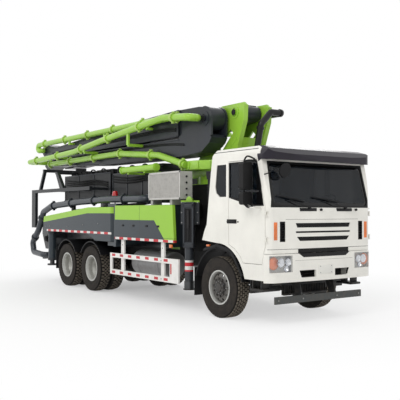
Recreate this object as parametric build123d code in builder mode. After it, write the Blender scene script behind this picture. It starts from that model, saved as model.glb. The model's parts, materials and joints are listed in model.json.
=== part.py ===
from build123d import *
import os
from math import cos, radians

# Concrete pump truck on three axles, five boom sections folded over the deck.
# Millimetres; +X forward, +Y left, +Z up; the origin is on the ground at the middle of the length and width.

os.makedirs("parts", exist_ok=True)

# Overall sizes and axles
LENGTH = 10700
FRONT_OVERHANG = 1420
WHEELBASE = 5050
BOGIE = 1370
BODY_HALF = 1250
MIRROR_HALF = 1450
AXLE_1 = LENGTH / 2 - FRONT_OVERHANG
AXLE_2 = AXLE_1 - WHEELBASE
AXLE_3 = AXLE_2 - BOGIE

# Clearances
FIT = 0.4
GAP = 6
SKIN = 0.3

# Wheels
TYRE_R = 540
TYRE_HALF = 150
RIM_R = 290
RIM_HALF = 116
LIP_R = 304
LIP_T = 10
TRACK = 1068
DUAL_GAP = 40
INNER_TRACK = TRACK - 2 * TYRE_HALF - DUAL_GAP
MATE = (TRACK + INNER_TRACK) / 2
BORE_R = 45

# Frame
RAIL_OUT = 430
RAIL_WEB = 12
RAIL_FLANGE = 80
RAIL_LOW = 800
RAIL_TOP = 1080
RAIL_FRONT = 1180
RAIL_REAR = -8060

# Cab
CAB_HALF = 1225
CAB_WALL = 55
CAB_FRONT = 1395
ROOF = 2960
ARCH_R = 780
DOOR_GAP = 8
DOOR_DEPTH = 60
DOOR_FRONT = 1300
DOOR_REAR = 310
GLASS_T = 8
GLASS_IN = 14

CAB_BELLY = 1200
CAB_SEAT_REAR = 1347
CAB_SEAT_FRONT = CAB_BELLY - SKIN
HINGE = (1297, 1236)
HINGE_Z = (1420, 1840)
HINGE_R = 13

# Turret and slewing
SLEW_X = -1500
RING_R = 500
RING_TOP = 2520
TURRET_HALF = 300
TURRET_PLATE = 40
PIVOT_1 = (-680, 3790)
PIN_R = 60

# Boom lanes, seen from above: centre, right and left of the turret
LANE_1 = 235
LANE_IN = 365
LANE_OUT = 755
LEFT_IN = 628
LEFT_OUT = 850
PIPE_4_Y = 970
PIPE_5_Y = 1150
JOINT_2 = (-8750, 3270)
JOINT_3 = (-1060, 3680)
JOINT_4 = (-8960, 3630)
JOINT_5 = (-2700, 3640)
SHAFT_R = 65
PIPE_R = 70
COLLAR_R = 92
COLLAR_T = 50

# Outriggers
BEAM_ROOT = (-1100, -1080)
BEAM_W = 250
BEAM_H = 270
BEAM_LENGTH = 2340
HOUSING_WALL = 20
RIGHT_BEAM_Z = 1880
LEFT_BEAM_Z = 1560
LEG_SIDE = 200
LEG_LOW = 1190
LEG_TOP = 2050
TUBE_R = 84
TUBE_LOW = 560
JACK_R = 66
FOOT_LOW = 390
ARM_PIN = (-4120, -1105)
ARM_PIN_R = 55
ARM_IN = -965
REAR_LEG_X = -7560
REAR_TUBE_R = 105
REAR_ROD_R = 62
REAR_FOOT_LOW = 450

# Lockers and guards
LOCKER_TOP = 2010
LOCKER_LOW = 1270
LOCKER_IN = 870
GUARD_Y = 1235
GUARD_T = 35
DECK_TOP = 1350


def fx(x):
    """A distance ahead of the front axle, as X in the model's frame."""
    return AXLE_1 + x


def side(points):
    """Side-view points, X counted from the front axle, in the model's frame."""
    return [(fx(x), z) for x, z in points]


def slab(points, y_low, y_high, mode=Mode.ADD):
    """A side-view outline filled from y_low to y_high."""
    with BuildSketch(Plane.XZ.offset(-y_low)) as outline:
        with BuildLine():
            Polyline(*points, close=True)
        make_face()
    extrude(outline.sketch, amount=y_low - y_high, mode=mode)


def rod(start, end, radius, mode=Mode.ADD):
    """A round bar between two points."""
    along = Vector(*end) - Vector(*start)
    with BuildSketch(Plane(origin=start, z_dir=along)) as disc:
        Circle(radius)
    extrude(disc.sketch, amount=along.length, mode=mode)


def block(low, high, mode=Mode.ADD):
    """A box between two corners."""
    middle = [(a + b) / 2 for a, b in zip(low, high)]
    size = [b - a for a, b in zip(low, high)]
    with Locations(tuple(middle)):
        Box(*size, mode=mode)


def hose(points, bend, radius, collars=(), collar=COLLAR_R):
    """A round pipe along a bent path, with clamp collars at shares of its length."""
    with BuildLine() as route:
        FilletPolyline(*points, radius=bend)
    path = route.wires()[0]
    with BuildSketch(Plane(origin=path @ 0, z_dir=path % 0)) as section:
        Circle(radius)
    sweep(section.sketch, path=path)
    for share in collars:
        with BuildSketch(Plane(origin=path @ share, z_dir=path % share)) as ring:
            Circle(collar)
        extrude(ring.sketch, amount=COLLAR_T / 2, both=True)


def save(piece, name):
    """Name a finished piece and write its file."""
    piece.part.label = name
    export_step(piece.part, f"parts/{name}.step")


# Chassis frame: two C-section rails, cross members, front underrun bar and rear bumper
with BuildPart() as chassis_frame:
    for hand in (-1, 1):
        web = sorted((hand * (RAIL_OUT - RAIL_WEB), hand * RAIL_OUT))
        flange = sorted((hand * (RAIL_OUT - RAIL_FLANGE), hand * RAIL_OUT))
        block((fx(RAIL_REAR), web[0], RAIL_LOW), (fx(RAIL_FRONT), web[1], RAIL_TOP))
        block((fx(RAIL_REAR), flange[0], RAIL_LOW), (fx(RAIL_FRONT), flange[1], RAIL_LOW + RAIL_WEB))
        block((fx(RAIL_REAR), flange[0], RAIL_TOP - RAIL_WEB), (fx(RAIL_FRONT), flange[1], RAIL_TOP))
    for x in (1120, -1250, -2600, -3900, -5735, -7500, -8000):
        block((fx(x - 40), -RAIL_OUT + RAIL_WEB, RAIL_LOW + 60), (fx(x + 40), RAIL_OUT - RAIL_WEB, RAIL_TOP - 60))
    for hand in (-1, 1):
        y_low, y_high = sorted((hand * 360, hand * RAIL_OUT))
        block((fx(-430), y_low, RAIL_TOP), (fx(-330), y_high, CAB_SEAT_REAR))
        block((fx(1080), y_low, RAIL_TOP), (fx(1170), y_high, CAB_SEAT_FRONT))
    BAR_X, BAR_HALF, BAR_LOW, BAR_HIGH = 1290, 1020, 360, 480
    block((fx(BAR_X - 30), -BAR_HALF, BAR_LOW), (fx(BAR_X), BAR_HALF, BAR_HIGH))
    for hand in (-1, 1):
        y = hand * (RAIL_OUT - 30)
        slab(
            side([(RAIL_FRONT - 220, RAIL_LOW), (RAIL_FRONT, RAIL_LOW), (BAR_X - 30, BAR_HIGH),
                  (BAR_X - 30, BAR_LOW), (BAR_X - 130, BAR_LOW + 30)]),
            y - 15, y + 15)
    REAR_BAR_X = -8500
    block((fx(REAR_BAR_X - 60), -980, 560), (fx(REAR_BAR_X), 980, 680))
    for hand in (-1, 1):
        y = hand * (RAIL_OUT - 30)
        slab(side([(REAR_BAR_X, 560), (REAR_BAR_X + 60, 560), (-7900, 720), (-7900, RAIL_LOW), (-8060, RAIL_LOW),
                   (REAR_BAR_X, 680)]), y - 15, y + 15)
save(chassis_frame, "chassis_frame")

# Front axle: dropped beam with kingpin eyes, leaf springs and their hangers
KINGPIN_Y = 830
KING_R = 32
SPRING_Y = 390
with BuildPart() as front_axle:
    with BuildSketch(Plane.YZ.offset(fx(-55))):
        with BuildLine():
            Polyline((-KINGPIN_Y, 480), (-KINGPIN_Y, 600), (-700, 600), (-560, 530), (560, 530),
                     (700, 600), (KINGPIN_Y, 600), (KINGPIN_Y, 480), (760, 480), (600, 400),
                     (-600, 400), (-760, 480), close=True)
        make_face()
    extrude(amount=110)
    for hand in (-1, 1):
        rod((fx(0), hand * KINGPIN_Y, 480), (fx(0), hand * KINGPIN_Y, 600), 56)
        with Locations((fx(0), hand * KINGPIN_Y, 540)):
            Cylinder(KING_R + FIT, 200, mode=Mode.SUBTRACT)
        y = hand * SPRING_Y
        slab(side([(-700, 690), (-700, 720), (-60, 640), (60, 640), (700, 720), (700, 690), (250, 600),
                   (60, 530), (-60, 530), (-250, 600)]), y - 40, y + 40)
        for x in (-700, 700):
            block((fx(x - 40), y - 40, 690), (fx(x + 40), y + 40, RAIL_LOW))

# Drive axles: banjo housings, torque springs and the trunnion between them
with BuildPart() as drive_axles:
    for x in (AXLE_2, AXLE_3):
        rod((x, -560, TYRE_R), (x, 560, TYRE_R), 80)
        with Locations((x, 0, TYRE_R)):
            Cylinder(220, 260, rotation=(0, 90, 0))
        for hand in (-1, 1):
            rod((x, hand * 560, TYRE_R), (x, hand * (MATE + 70), TYRE_R), BORE_R)
    mid = (AXLE_2 + AXLE_3) / 2
    for hand in (-1, 1):
        y_low, y_high = sorted((hand * 440, hand * 530))
        with BuildSketch(Plane.XZ.offset(-y_low)) as pack:
            with BuildLine():
                Polyline((AXLE_2 + 70, 600), (AXLE_2 + 70, 640), (mid + 150, 760), (mid - 150, 760),
                         (AXLE_3 - 70, 640), (AXLE_3 - 70, 600), (mid - 120, 620), (mid + 120, 620), close=True)
            make_face()
        extrude(pack.sketch, amount=y_low - y_high)
        slab([(mid - 130, 640), (mid + 130, 640), (mid + 200, RAIL_TOP - 60), (mid - 200, RAIL_TOP - 60)],
             *sorted((hand * RAIL_OUT, hand * (RAIL_OUT + 60))))
    rod((mid, -480, 660), (mid, 480, 660), 50)
    for x in (AXLE_2, AXLE_3):
        for hand in (-1, 1):
            block((x - 70, min(hand * 440, hand * 530), TYRE_R), (x + 70, max(hand * 440, hand * 530), 640))
    rod((AXLE_2 + 120, 0, TYRE_R + 40), (fx(-1700), 0, 820), 55)
    rod((AXLE_3 + 120, 0, TYRE_R + 40), (AXLE_2 - 120, 0, TYRE_R + 40), 45)
with BuildPart() as axles:
    add(front_axle.part)
    add(drive_axles.part)
save(axles, "axles")


def knuckle(hand):
    """Steering knuckle: two ears on the kingpin, a stub spindle and the brake back plate."""
    with BuildPart() as piece:
        y = hand * KINGPIN_Y
        rod((fx(0), y, 425), (fx(0), y, 655), KING_R)
        for low, high in ((425, 480 - GAP), (600 + GAP, 655)):
            rod((fx(0), y, low), (fx(0), y, high), 62)
        for low, high in ((425, 480 - GAP), (600 + GAP, 655)):
            block((fx(-50), min(y, y + hand * 110), low), (fx(50), max(y, y + hand * 110), high))
        block((fx(-60), min(y + hand * 62, y + hand * 110), 425), (fx(60), max(y + hand * 62, y + hand * 110), 655))
        rod((fx(0), y + hand * 100, TYRE_R), (fx(0), hand * (TRACK + 90), TYRE_R), BORE_R)
        rod((fx(0), y + hand * 100, TYRE_R), (fx(0), y + hand * 125, TYRE_R), 190)
    return piece


knuckle_right = knuckle(-1)
knuckle_left = knuckle(1)
save(knuckle_right, "knuckle_right")
save(knuckle_left, "knuckle_left")


def revolved(x, y, hand, section):
    """A half section of (out from the wheel's middle plane, radius) turned about an axle."""
    with BuildSketch(Plane(origin=(x, y, TYRE_R), x_dir=(0, hand, 0), z_dir=(1, 0, 0))) as half:
        with BuildLine():
            Polyline(*section, close=True)
        make_face()
    revolve(half.sketch, axis=Axis((x, 0, TYRE_R), (0, 1, 0)))


# Half section of a tyre: out from its middle plane, radius
TYRE_SECTION = [
    (-RIM_HALF + SKIN, RIM_R + SKIN), (-RIM_HALF + SKIN, LIP_R + SKIN), (-TYRE_HALF + 4, 350), (-TYRE_HALF, 420),
    (-TYRE_HALF + 10, 490), (-TYRE_HALF + 28, 529), (-90, TYRE_R), (90, TYRE_R), (TYRE_HALF - 28, 529),
    (TYRE_HALF - 10, 490), (TYRE_HALF, 420), (TYRE_HALF - 4, 350), (RIM_HALF - SKIN, LIP_R + SKIN),
    (RIM_HALF - SKIN, RIM_R + SKIN),
]

# Rim barrel: out from the middle plane, radius
BARREL = [
    (-RIM_HALF - LIP_T, 278), (-RIM_HALF - LIP_T, LIP_R), (-RIM_HALF, LIP_R), (-RIM_HALF, RIM_R),
    (RIM_HALF, RIM_R), (RIM_HALF, LIP_R), (RIM_HALF + LIP_T, LIP_R), (RIM_HALF + LIP_T, 278),
    (60, 262), (-60, 262),
]


def tyres(x, hand, tracks):
    """One tyre for each wheel's middle plane on a side."""
    with BuildPart() as piece:
        for track in tracks:
            revolved(x, hand * track, hand, TYRE_SECTION)
    return piece


def turned(x, hand, sections):
    """Half sections of (distance out from the vehicle's middle plane, radius), joined and turned."""
    with BuildSketch(Plane(origin=(x, 0, TYRE_R), x_dir=(0, hand, 0), z_dir=(1, 0, 0))) as half:
        for section in sections:
            with BuildLine():
                Polyline(*section, close=True)
            make_face()
    revolve(half.sketch, axis=Axis((x, 0, TYRE_R), (0, 1, 0)))


def shifted(section, track, out=1):
    """A wheel's half section moved to its place along the axle, facing out or in."""
    return [(track + out * y, radius) for y, radius in section]


def nut_ring(x, hand, y, radius, depth):
    """Ten wheel nuts on a circle."""
    with BuildSketch(Plane(origin=(x, hand * y, TYRE_R), z_dir=(0, hand, 0))) as nuts:
        with PolarLocations(radius, 10, start_angle=7):
            RegularPolygon(18, 6)
    extrude(nuts.sketch, amount=depth)


BORE = BORE_R + SKIN


def front_wheel(hand):
    """Steel front wheel: shallow disc near the outer face, hand holes, hub and nuts."""
    disc = [(20, 270), (64, 225), (92, 178), (92, BORE), (108, BORE), (108, 182), (82, 234), (40, 270)]
    hub = [(-90, BORE), (-90, 110), (92, 110), (110, 130), (128, 130), (128, 84), (146, 76), (152, 0), (93, 0),
           (93, BORE)]
    with BuildPart() as piece:
        turned(fx(0), hand, [shifted(BARREL, TRACK), shifted(disc, TRACK), shifted(hub, TRACK)])
        with BuildSketch(Plane(origin=(fx(0), hand * TRACK, TYRE_R), z_dir=(0, hand, 0))) as holes:
            with PolarLocations(218, 10, start_angle=18):
                Circle(22)
        extrude(holes.sketch, amount=130, mode=Mode.SUBTRACT)
        nut_ring(fx(0), hand, TRACK + 106, 158, 28)
    return piece


def drive_wheel(x, hand):
    """Twin steel wheels bolted face to face on one hub, dished in from the outside."""
    sections = []
    for track, out in ((TRACK, 1), (INNER_TRACK, -1)):
        reach = (MATE - track) * out
        sections.append(shifted(BARREL, track))
        sections.append(shifted([(-10, 274), (-60, 274), (reach + 34, 232), (reach - 2, 200), (reach - 2, 100),
                                 (reach + 14, 100), (reach + 14, 190), (reach + 44, 222), (-30, 262)], track, out))
    sections.append(shifted([(-60, BORE), (-60, 134), (0, 140), (30, 140), (34, 105), (118, 105), (128, 92),
                             (128, 0), (73, 0), (73, BORE)], MATE))
    with BuildPart() as piece:
        turned(x, hand, sections)
        nut_ring(x, hand, MATE + 12, 168, 34)
    return piece


for name, hand in (("right", -1), ("left", 1)):
    save(tyres(fx(0), hand, (TRACK,)), f"front_tyre_{name}")
    save(front_wheel(hand), f"front_wheel_{name}")
    for row, x in (("mid", AXLE_2), ("rear", AXLE_3)):
        save(tyres(x, hand, (TRACK, INNER_TRACK)), f"{row}_tyres_{name}")
        save(drive_wheel(x, hand), f"{row}_wheels_{name}")

# Engine and gearbox under the cab, as one plain block
with BuildPart() as engine:
    block((fx(-650), -330, 680), (fx(620), 330, 1180))
    block((fx(-1150), -220, 720), (fx(-650), 220, 1040))
save(engine, "engine")

# Cab outer form: side outline cut to the plan outline, arches cut for the wheels
CAB_SIDE = [
    (-470, 1360), (-400, 1530), (-330, 1640), (-205, 2530), (-140, ROOF - 60), (-95, ROOF),
    (1050, ROOF), (1130, 2930), (1200, 2700), (CAB_FRONT - 25, 1950), (CAB_FRONT, 1880),
    (CAB_FRONT, 1190), (1240, 1190), (1240, 750), (660, 750), (300, 1250), (-10, 1320),
]
CAB_INSIDE = [
    (-250, 1400), (-145, 2530), (-80, ROOF - CAB_WALL), (1040, ROOF - CAB_WALL), (1075, 2880), (1140, 2690),
    (CAB_FRONT - 25 - CAB_WALL, 1940), (CAB_FRONT - CAB_WALL, 1870), (CAB_FRONT - CAB_WALL, 1265),
    (600, 1265), (600, 1400),
]
WELL_IN = 815


def cab_form(outline, half, nose, corner, keep_arch):
    """The cab's side outline bounded by its plan, with the wheel arches taken out."""
    with BuildPart() as form:
        slab(side(outline), -half, half)
        with BuildSketch(Plane.XY.offset(600)) as plan:
            with BuildLine():
                Polyline((fx(nose - corner - 45), half), (fx(-600), half), (fx(-600), -half),
                         (fx(nose - corner - 45), -half))
                SagittaArc((fx(nose - corner - 45), -half), (fx(nose - 45), -half + corner), -corner * 0.28)
                ThreePointArc((fx(nose - 45), -half + corner), (fx(nose), 0), (fx(nose - 45), half - corner))
                SagittaArc((fx(nose - 45), half - corner), (fx(nose - corner - 45), half), -corner * 0.28)
            make_face()
        extrude(plan.sketch, amount=2600, mode=Mode.INTERSECT)
        top = max(z for _, z in outline)
        with BuildSketch(Plane.YZ.offset(fx(-700))) as front:
            with BuildLine():
                Polyline((-half, 600), (-half, top - 110), (-half + 70, top), (half - 70, top), (half, top - 110),
                         (half, 600), close=True)
            make_face()
        extrude(front.sketch, amount=2400, mode=Mode.INTERSECT)
        rod((fx(0), -half - 10, TYRE_R), (fx(0), half + 10, TYRE_R), keep_arch, mode=Mode.SUBTRACT)
    return form.part


cab_outer = cab_form(CAB_SIDE, CAB_HALF, CAB_FRONT, 120, ARCH_R)
cab_room = cab_form(CAB_INSIDE, CAB_HALF - CAB_WALL, CAB_FRONT - CAB_WALL, 90, ARCH_R + CAB_WALL)
with BuildPart() as cab_void:
    add(cab_room)
    for hand in (-1, 1):
        y_low, y_high = sorted((hand * WELL_IN, hand * (CAB_HALF - CAB_WALL)))
        block((fx(850), y_low, 1050), (fx(1185), y_high, 1300))
cab_inner = cab_void.part

DOOR_OUTLINE = [
    (DOOR_REAR, 2735), (1080, 2735), (DOOR_FRONT - 25, 1960), (DOOR_FRONT - 25, 1300), (1200, 1010), (700, 1010),
    (640, 1110), (480, 1240), (DOOR_REAR, 1310),
]
WINDOW = [(350, 2130), (350, 2690), (1080, 2690), (1220, 1985), (900, 2000)]
QUARTER = [(-70, 2300), (-40, 2200), (60, 2130), (250, 2130), (250, 2690), (-20, 2690)]
SLOTS = ((1610, 1684, 650, 615), (1520, 1550, 650, 640), (1388, 1458, 625, 560))
SLOT_DEPTH = 36
VENT_Y = (865, 980)
VENT_Z = (1380, 1710)


def front_window(half_low, half_high, z_low, z_high):
    """The windscreen opening's outline on the front, swept back through the wall."""
    with BuildSketch(Plane.YZ.offset(fx(1000))) as opening:
        with BuildLine():
            Polyline((-half_low, z_low), (half_low, z_low), (half_high, z_high), (-half_high, z_high), close=True)
        make_face()
        fillet(opening.vertices(), 70)
    return opening.sketch


SCREEN = (1120, 1090, 1975, 2670)
REAR_WINDOW = (420, 420, 2150, 2600)

with BuildPart() as cab_shell:
    add(cab_outer)
    add(cab_inner, mode=Mode.SUBTRACT)
    for hand in (-1, 1):
        y_low, y_high = sorted((hand * (CAB_HALF - DOOR_DEPTH - 2), hand * (CAB_HALF + 20)))
        slab(side(DOOR_OUTLINE), y_low, y_high, mode=Mode.SUBTRACT)
        y_low, y_high = sorted((hand * (CAB_HALF - 160), hand * (CAB_HALF + 20)))
        slab(side(QUARTER), y_low, y_high, mode=Mode.SUBTRACT)
        slab(side(WINDOW), y_low, y_high, mode=Mode.SUBTRACT)
    extrude(front_window(*SCREEN), amount=600, mode=Mode.SUBTRACT)
    with BuildSketch(Plane.YZ.offset(fx(-500))) as rear_opening:
        with Locations((0, (REAR_WINDOW[2] + REAR_WINDOW[3]) / 2)):
            Rectangle(2 * REAR_WINDOW[0], REAR_WINDOW[3] - REAR_WINDOW[2])
        fillet(rear_opening.vertices(), 60)
    extrude(rear_opening.sketch, amount=500, mode=Mode.SUBTRACT)
    for z_low, z_high, half_top, half_low in SLOTS:
        with BuildSketch(Plane.YZ.offset(fx(CAB_FRONT - SLOT_DEPTH))) as slot:
            with BuildLine():
                Polyline((-half_low, z_low), (half_low, z_low), (half_top, z_high), (-half_top, z_high), close=True)
            make_face()
        extrude(slot.sketch, amount=90, mode=Mode.SUBTRACT)
    for hand in (-1, 1):
        y_low, y_high = sorted((hand * VENT_Y[0], hand * VENT_Y[1]))
        block((fx(CAB_FRONT - 75), y_low, VENT_Z[0]), (fx(CAB_FRONT + 50), y_high, VENT_Z[1]), mode=Mode.SUBTRACT)
    block((fx(CAB_FRONT - SLOT_DEPTH), -600, 1180), (fx(CAB_FRONT + 50), 600, 1262), mode=Mode.SUBTRACT)
    block((fx(-300), -WELL_IN + CAB_WALL, 600), (fx(1250), WELL_IN - CAB_WALL, CAB_BELLY), mode=Mode.SUBTRACT)
    for hand in (-1, 1):
        for z in HINGE_Z:
            y_low, y_high = sorted((hand * (HINGE[1] - 40), hand * HINGE[1]))
            for z_low, z_high in ((z - 45, z - 30), (z + 30, z + 45)):
                block((fx(HINGE[0]), y_low, z_low), (fx(HINGE[0] + 26), y_high, z_high))
                rod((fx(HINGE[0]), hand * HINGE[1], z_low), (fx(HINGE[0]), hand * HINGE[1], z_high), HINGE_R)
            rod((fx(HINGE[0]), hand * HINGE[1], z - 45), (fx(HINGE[0]), hand * HINGE[1], z + 45), 6)
save(cab_shell, "cab_shell")


def inset_door(points, gap):
    """The door's outline drawn in by the shut line."""
    with BuildSketch(Plane.XZ) as outline:
        with BuildLine():
            Polyline(*points, close=True)
        make_face()
        offset(amount=-gap, kind=Kind.INTERSECTION)
    return outline.sketch


def door(hand):
    """Door leaf as thick as the cab wall, its window opening, and two mirror heads on a bent tube."""
    with BuildPart() as piece:
        add(cab_outer)
        add(cab_inner, mode=Mode.SUBTRACT)
        leaf = inset_door(side(DOOR_OUTLINE), DOOR_GAP)
        leaf = Pos(0, hand * (CAB_HALF + 20), 0) * leaf
        extrude(leaf, amount=hand * (DOOR_DEPTH + 20), mode=Mode.INTERSECT)
        y_low, y_high = sorted((hand * (CAB_HALF - 200), hand * (CAB_HALF + 30)))
        slab(side(WINDOW), y_low, y_high, mode=Mode.SUBTRACT)
        for z in HINGE_Z:
            y_low, y_high = sorted((hand * (HINGE[1] - 12), hand * (HINGE[1] - 4)))
            block((fx(HINGE[0] - 50), y_low, z - 24), (fx(HINGE[0] - 6), y_high, z + 24))
            y_low, y_high = sorted((hand * (HINGE[1] - 34), hand * (HINGE[1] - 4)))
            block((fx(HINGE[0] - 60), y_low, z - 24), (fx(HINGE[0] - 40), y_high, z + 24))
            rod((fx(HINGE[0]), hand * HINGE[1], z - 24), (fx(HINGE[0]), hand * HINGE[1], z + 24), HINGE_R)
            rod((fx(HINGE[0]), hand * HINGE[1], z - 25), (fx(HINGE[0]), hand * HINGE[1], z + 25), 6 + SKIN,
                mode=Mode.SUBTRACT)
        y_arm = hand * (MIRROR_HALF - 70)
        skin = hand * (CAB_HALF - 20)
        hose([(fx(1050), skin, 2712), (fx(1050), y_arm, 2712), (fx(930), y_arm, 2700), (fx(930), y_arm, 1990),
              (fx(1180), y_arm, 1930), (fx(1180), skin, 1930)], 30, 14)
        y_low, y_high = sorted((hand * (MIRROR_HALF - 190), hand * MIRROR_HALF))
        for z_low, z_high in ((2230, 2680), (1985, 2200)):
            with BuildSketch(Plane.YZ.offset(fx(885))) as head:
                with Locations(((y_low + y_high) / 2, (z_low + z_high) / 2)):
                    RectangleRounded(y_high - y_low, z_high - z_low, 40)
            extrude(head.sketch, amount=110)
    return piece


def pane(hand, outline):
    """Side glass that fills an opening, set in from the outer face."""
    with BuildPart() as piece:
        add(Pos(0, -hand * GLASS_IN, 0) * cab_outer)
        add(Pos(0, -hand * (GLASS_IN + GLASS_T), 0) * cab_outer, mode=Mode.SUBTRACT)
        y_low, y_high = sorted((hand * (CAB_HALF - 200), hand * (CAB_HALF + 30)))
        slab(side(outline), y_low, y_high, mode=Mode.INTERSECT)
    return piece


for name, hand in (("right", -1), ("left", 1)):
    save(door(hand), f"door_{name}")
    save(pane(hand, WINDOW), f"door_glass_{name}")

# Windscreen, quarter windows and rear window
with BuildPart() as screen:
    add(Pos(-GLASS_IN, 0, 0) * cab_outer)
    add(Pos(-GLASS_IN - 1.5 * GLASS_T, 0, 0) * cab_outer, mode=Mode.SUBTRACT)
    extrude(front_window(*SCREEN), amount=600, mode=Mode.INTERSECT)
with BuildPart() as back_pane:
    add(Pos(GLASS_IN, 0, 0) * cab_outer)
    add(Pos(GLASS_IN + GLASS_T, 0, 0) * cab_outer, mode=Mode.SUBTRACT)
    extrude(rear_opening.sketch, amount=500, mode=Mode.INTERSECT)
quarter_right = pane(-1, QUARTER)
quarter_left = pane(1, QUARTER)
with BuildPart() as cab_glass:
    add(screen.part)
    add(back_pane.part)
    add(quarter_right.part)
    add(quarter_left.part)
save(cab_glass, "cab_glass")

# Sun visor wrapped round the front of the roof
VISOR_SIDE = [
    (1125, 2700), (1055, ROOF + 2), (1130, ROOF), (1290, 2915), (1400, 2820), (1418, 2745), (1400, 2715),
    (1180, 2730),
]
with BuildPart() as sun_visor:
    slab(side(VISOR_SIDE), -CAB_HALF - 12, CAB_HALF + 12)
    with BuildSketch(Plane.XY.offset(2500)) as brow:
        with BuildLine():
            Polyline((fx(1180), CAB_HALF + 12), (fx(900), CAB_HALF + 12), (fx(900), -CAB_HALF - 12),
                     (fx(1180), -CAB_HALF - 12))
            SagittaArc((fx(1180), -CAB_HALF - 12), (fx(1372), -CAB_HALF + 170), -55)
            ThreePointArc((fx(1372), -CAB_HALF + 170), (fx(1418), 0), (fx(1372), CAB_HALF - 170))
            SagittaArc((fx(1372), CAB_HALF - 170), (fx(1180), CAB_HALF + 12), -55)
        make_face()
    extrude(brow.sketch, amount=600, mode=Mode.INTERSECT)
    with BuildSketch(Plane.YZ.offset(fx(850))) as ends:
        with BuildLine():
            Polyline((-CAB_HALF - 12, 2500), (-CAB_HALF - 12, 2800), (-CAB_HALF + 30, 2880), (-CAB_HALF + 95, 2970),
                     (CAB_HALF - 95, 2970), (CAB_HALF - 30, 2880), (CAB_HALF + 12, 2800), (CAB_HALF + 12, 2500),
                     close=True)
        make_face()
    extrude(ends.sketch, amount=700, mode=Mode.INTERSECT)
    add(cab_outer, mode=Mode.SUBTRACT)
    slab(side([(900, 2600), (900, 2700), (1140, 2760), (1330, 2760), (1380, 2650)]),
         -CAB_HALF + 90, CAB_HALF - 90, mode=Mode.SUBTRACT)
save(sun_visor, "sun_visor")

# Grille inserts in the cab's front slots, with two fins in each
with BuildPart() as grille:
    for z_low, z_high, half_top, half_low in SLOTS:
        block((fx(CAB_FRONT - SLOT_DEPTH), -half_low, z_low), (fx(CAB_FRONT - SLOT_DEPTH + 8), half_low, z_high))
        if z_high - z_low > 50:
            for share in (0.3, 0.7):
                z = z_low + share * (z_high - z_low)
                block((fx(CAB_FRONT - SLOT_DEPTH + 8), -half_low, z - 5), (fx(CAB_FRONT - 14), half_low, z + 5))
    block((fx(CAB_FRONT - SLOT_DEPTH), -600, 1190), (fx(CAB_FRONT - SLOT_DEPTH + 12), 600, 1262))

# Bumper: a wrapped shell with lamp pockets and lower intakes
BUMPER_LOW = 720
BUMPER_TOP = 1184
BUMPER_WALL = 45


def bumper_plan(half, nose, rear):
    """Plan of the bumper shell."""
    with BuildSketch(Plane.XY.offset(BUMPER_LOW)) as plan:
        with BuildLine():
            Polyline((fx(rear), half), (fx(rear), -half))
            Line((fx(rear), -half), (fx(nose - 165), -half))
            SagittaArc((fx(nose - 165), -half), (fx(nose - 50), -half + 150), -28)
            ThreePointArc((fx(nose - 50), -half + 150), (fx(nose), 0), (fx(nose - 50), half - 150))
            SagittaArc((fx(nose - 50), half - 150), (fx(nose - 165), half), -28)
            Line((fx(nose - 165), half), (fx(rear), half))
        make_face()
    return plan.sketch


LAMP_Y = (735, 1180)
LAMP_Z = (885, 1155)
with BuildPart() as bumper:
    extrude(bumper_plan(CAB_HALF + 8, FRONT_OVERHANG, 1246), amount=BUMPER_TOP - BUMPER_LOW)
    extrude(bumper_plan(CAB_HALF + 8 - BUMPER_WALL, FRONT_OVERHANG - BUMPER_WALL, 1100),
            amount=BUMPER_TOP - BUMPER_LOW, mode=Mode.SUBTRACT)
    for hand in (-1, 1):
        y_low, y_high = sorted((hand * LAMP_Y[0], hand * LAMP_Y[1]))
        block((fx(1200), y_low, LAMP_Z[0]), (fx(1500), y_high, LAMP_Z[1]), mode=Mode.SUBTRACT)
        with BuildSketch(Plane.YZ.offset(fx(1200))) as intake:
            with BuildLine():
                Polyline((hand * 225, 905), (hand * 590, 905), (hand * 545, 785), (hand * 225, 785), close=True)
            make_face()
        extrude(intake.sketch, amount=300, mode=Mode.SUBTRACT)
    block((fx(RAIL_FRONT), -430, 960), (fx(FRONT_OVERHANG - BUMPER_WALL + 8), -380, 1060))
    block((fx(RAIL_FRONT), 380, 960), (fx(FRONT_OVERHANG - BUMPER_WALL + 8), 430, 1060))
with BuildPart() as front_end:
    add(bumper.part)
    add(grille.part)
save(front_end, "bumper_and_grille")

# Lamps: headlamps in their pockets, tail lamps on the rear bumper, beacon on its post
BEACON = (-4420, -900)


def headlamp(hand):
    """Lens and housing that fill one bumper pocket."""
    with BuildPart() as piece:
        extrude(bumper_plan(CAB_HALF + 3, FRONT_OVERHANG - 5, 1246), amount=800)
        extrude(bumper_plan(CAB_HALF - 50, FRONT_OVERHANG - 75, 1100), amount=800, mode=Mode.SUBTRACT)
        y_low, y_high = sorted((hand * (LAMP_Y[0] + SKIN), hand * (LAMP_Y[1] - SKIN)))
        block((fx(1246), y_low, LAMP_Z[0] + SKIN), (fx(1500), y_high, LAMP_Z[1] - SKIN), mode=Mode.INTERSECT)
    return piece.part


headlamp_right = headlamp(-1)
headlamp_left = headlamp(1)
with BuildPart() as lamps:
    add(headlamp_right)
    add(headlamp_left)
    for hand in (-1, 1):
        y_low, y_high = sorted((hand * 640, hand * 960))
        block((fx(REAR_BAR_X - 95), y_low, 575), (fx(REAR_BAR_X - 60), y_high, 665))
    rod((fx(BEACON[0]), BEACON[1], 1350), (fx(BEACON[0]), BEACON[1], 2215), 16)
    rod((fx(BEACON[0]), BEACON[1], 2215), (fx(BEACON[0]), BEACON[1], 2290), 72)
    rod((fx(BEACON[0]), BEACON[1], 2290), (fx(BEACON[0]), BEACON[1], 2355), 62)
    fillet(lamps.edges().filter_by(GeomType.CIRCLE).group_by(Axis.Z)[-1], 30)
save(lamps, "lamps")

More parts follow.
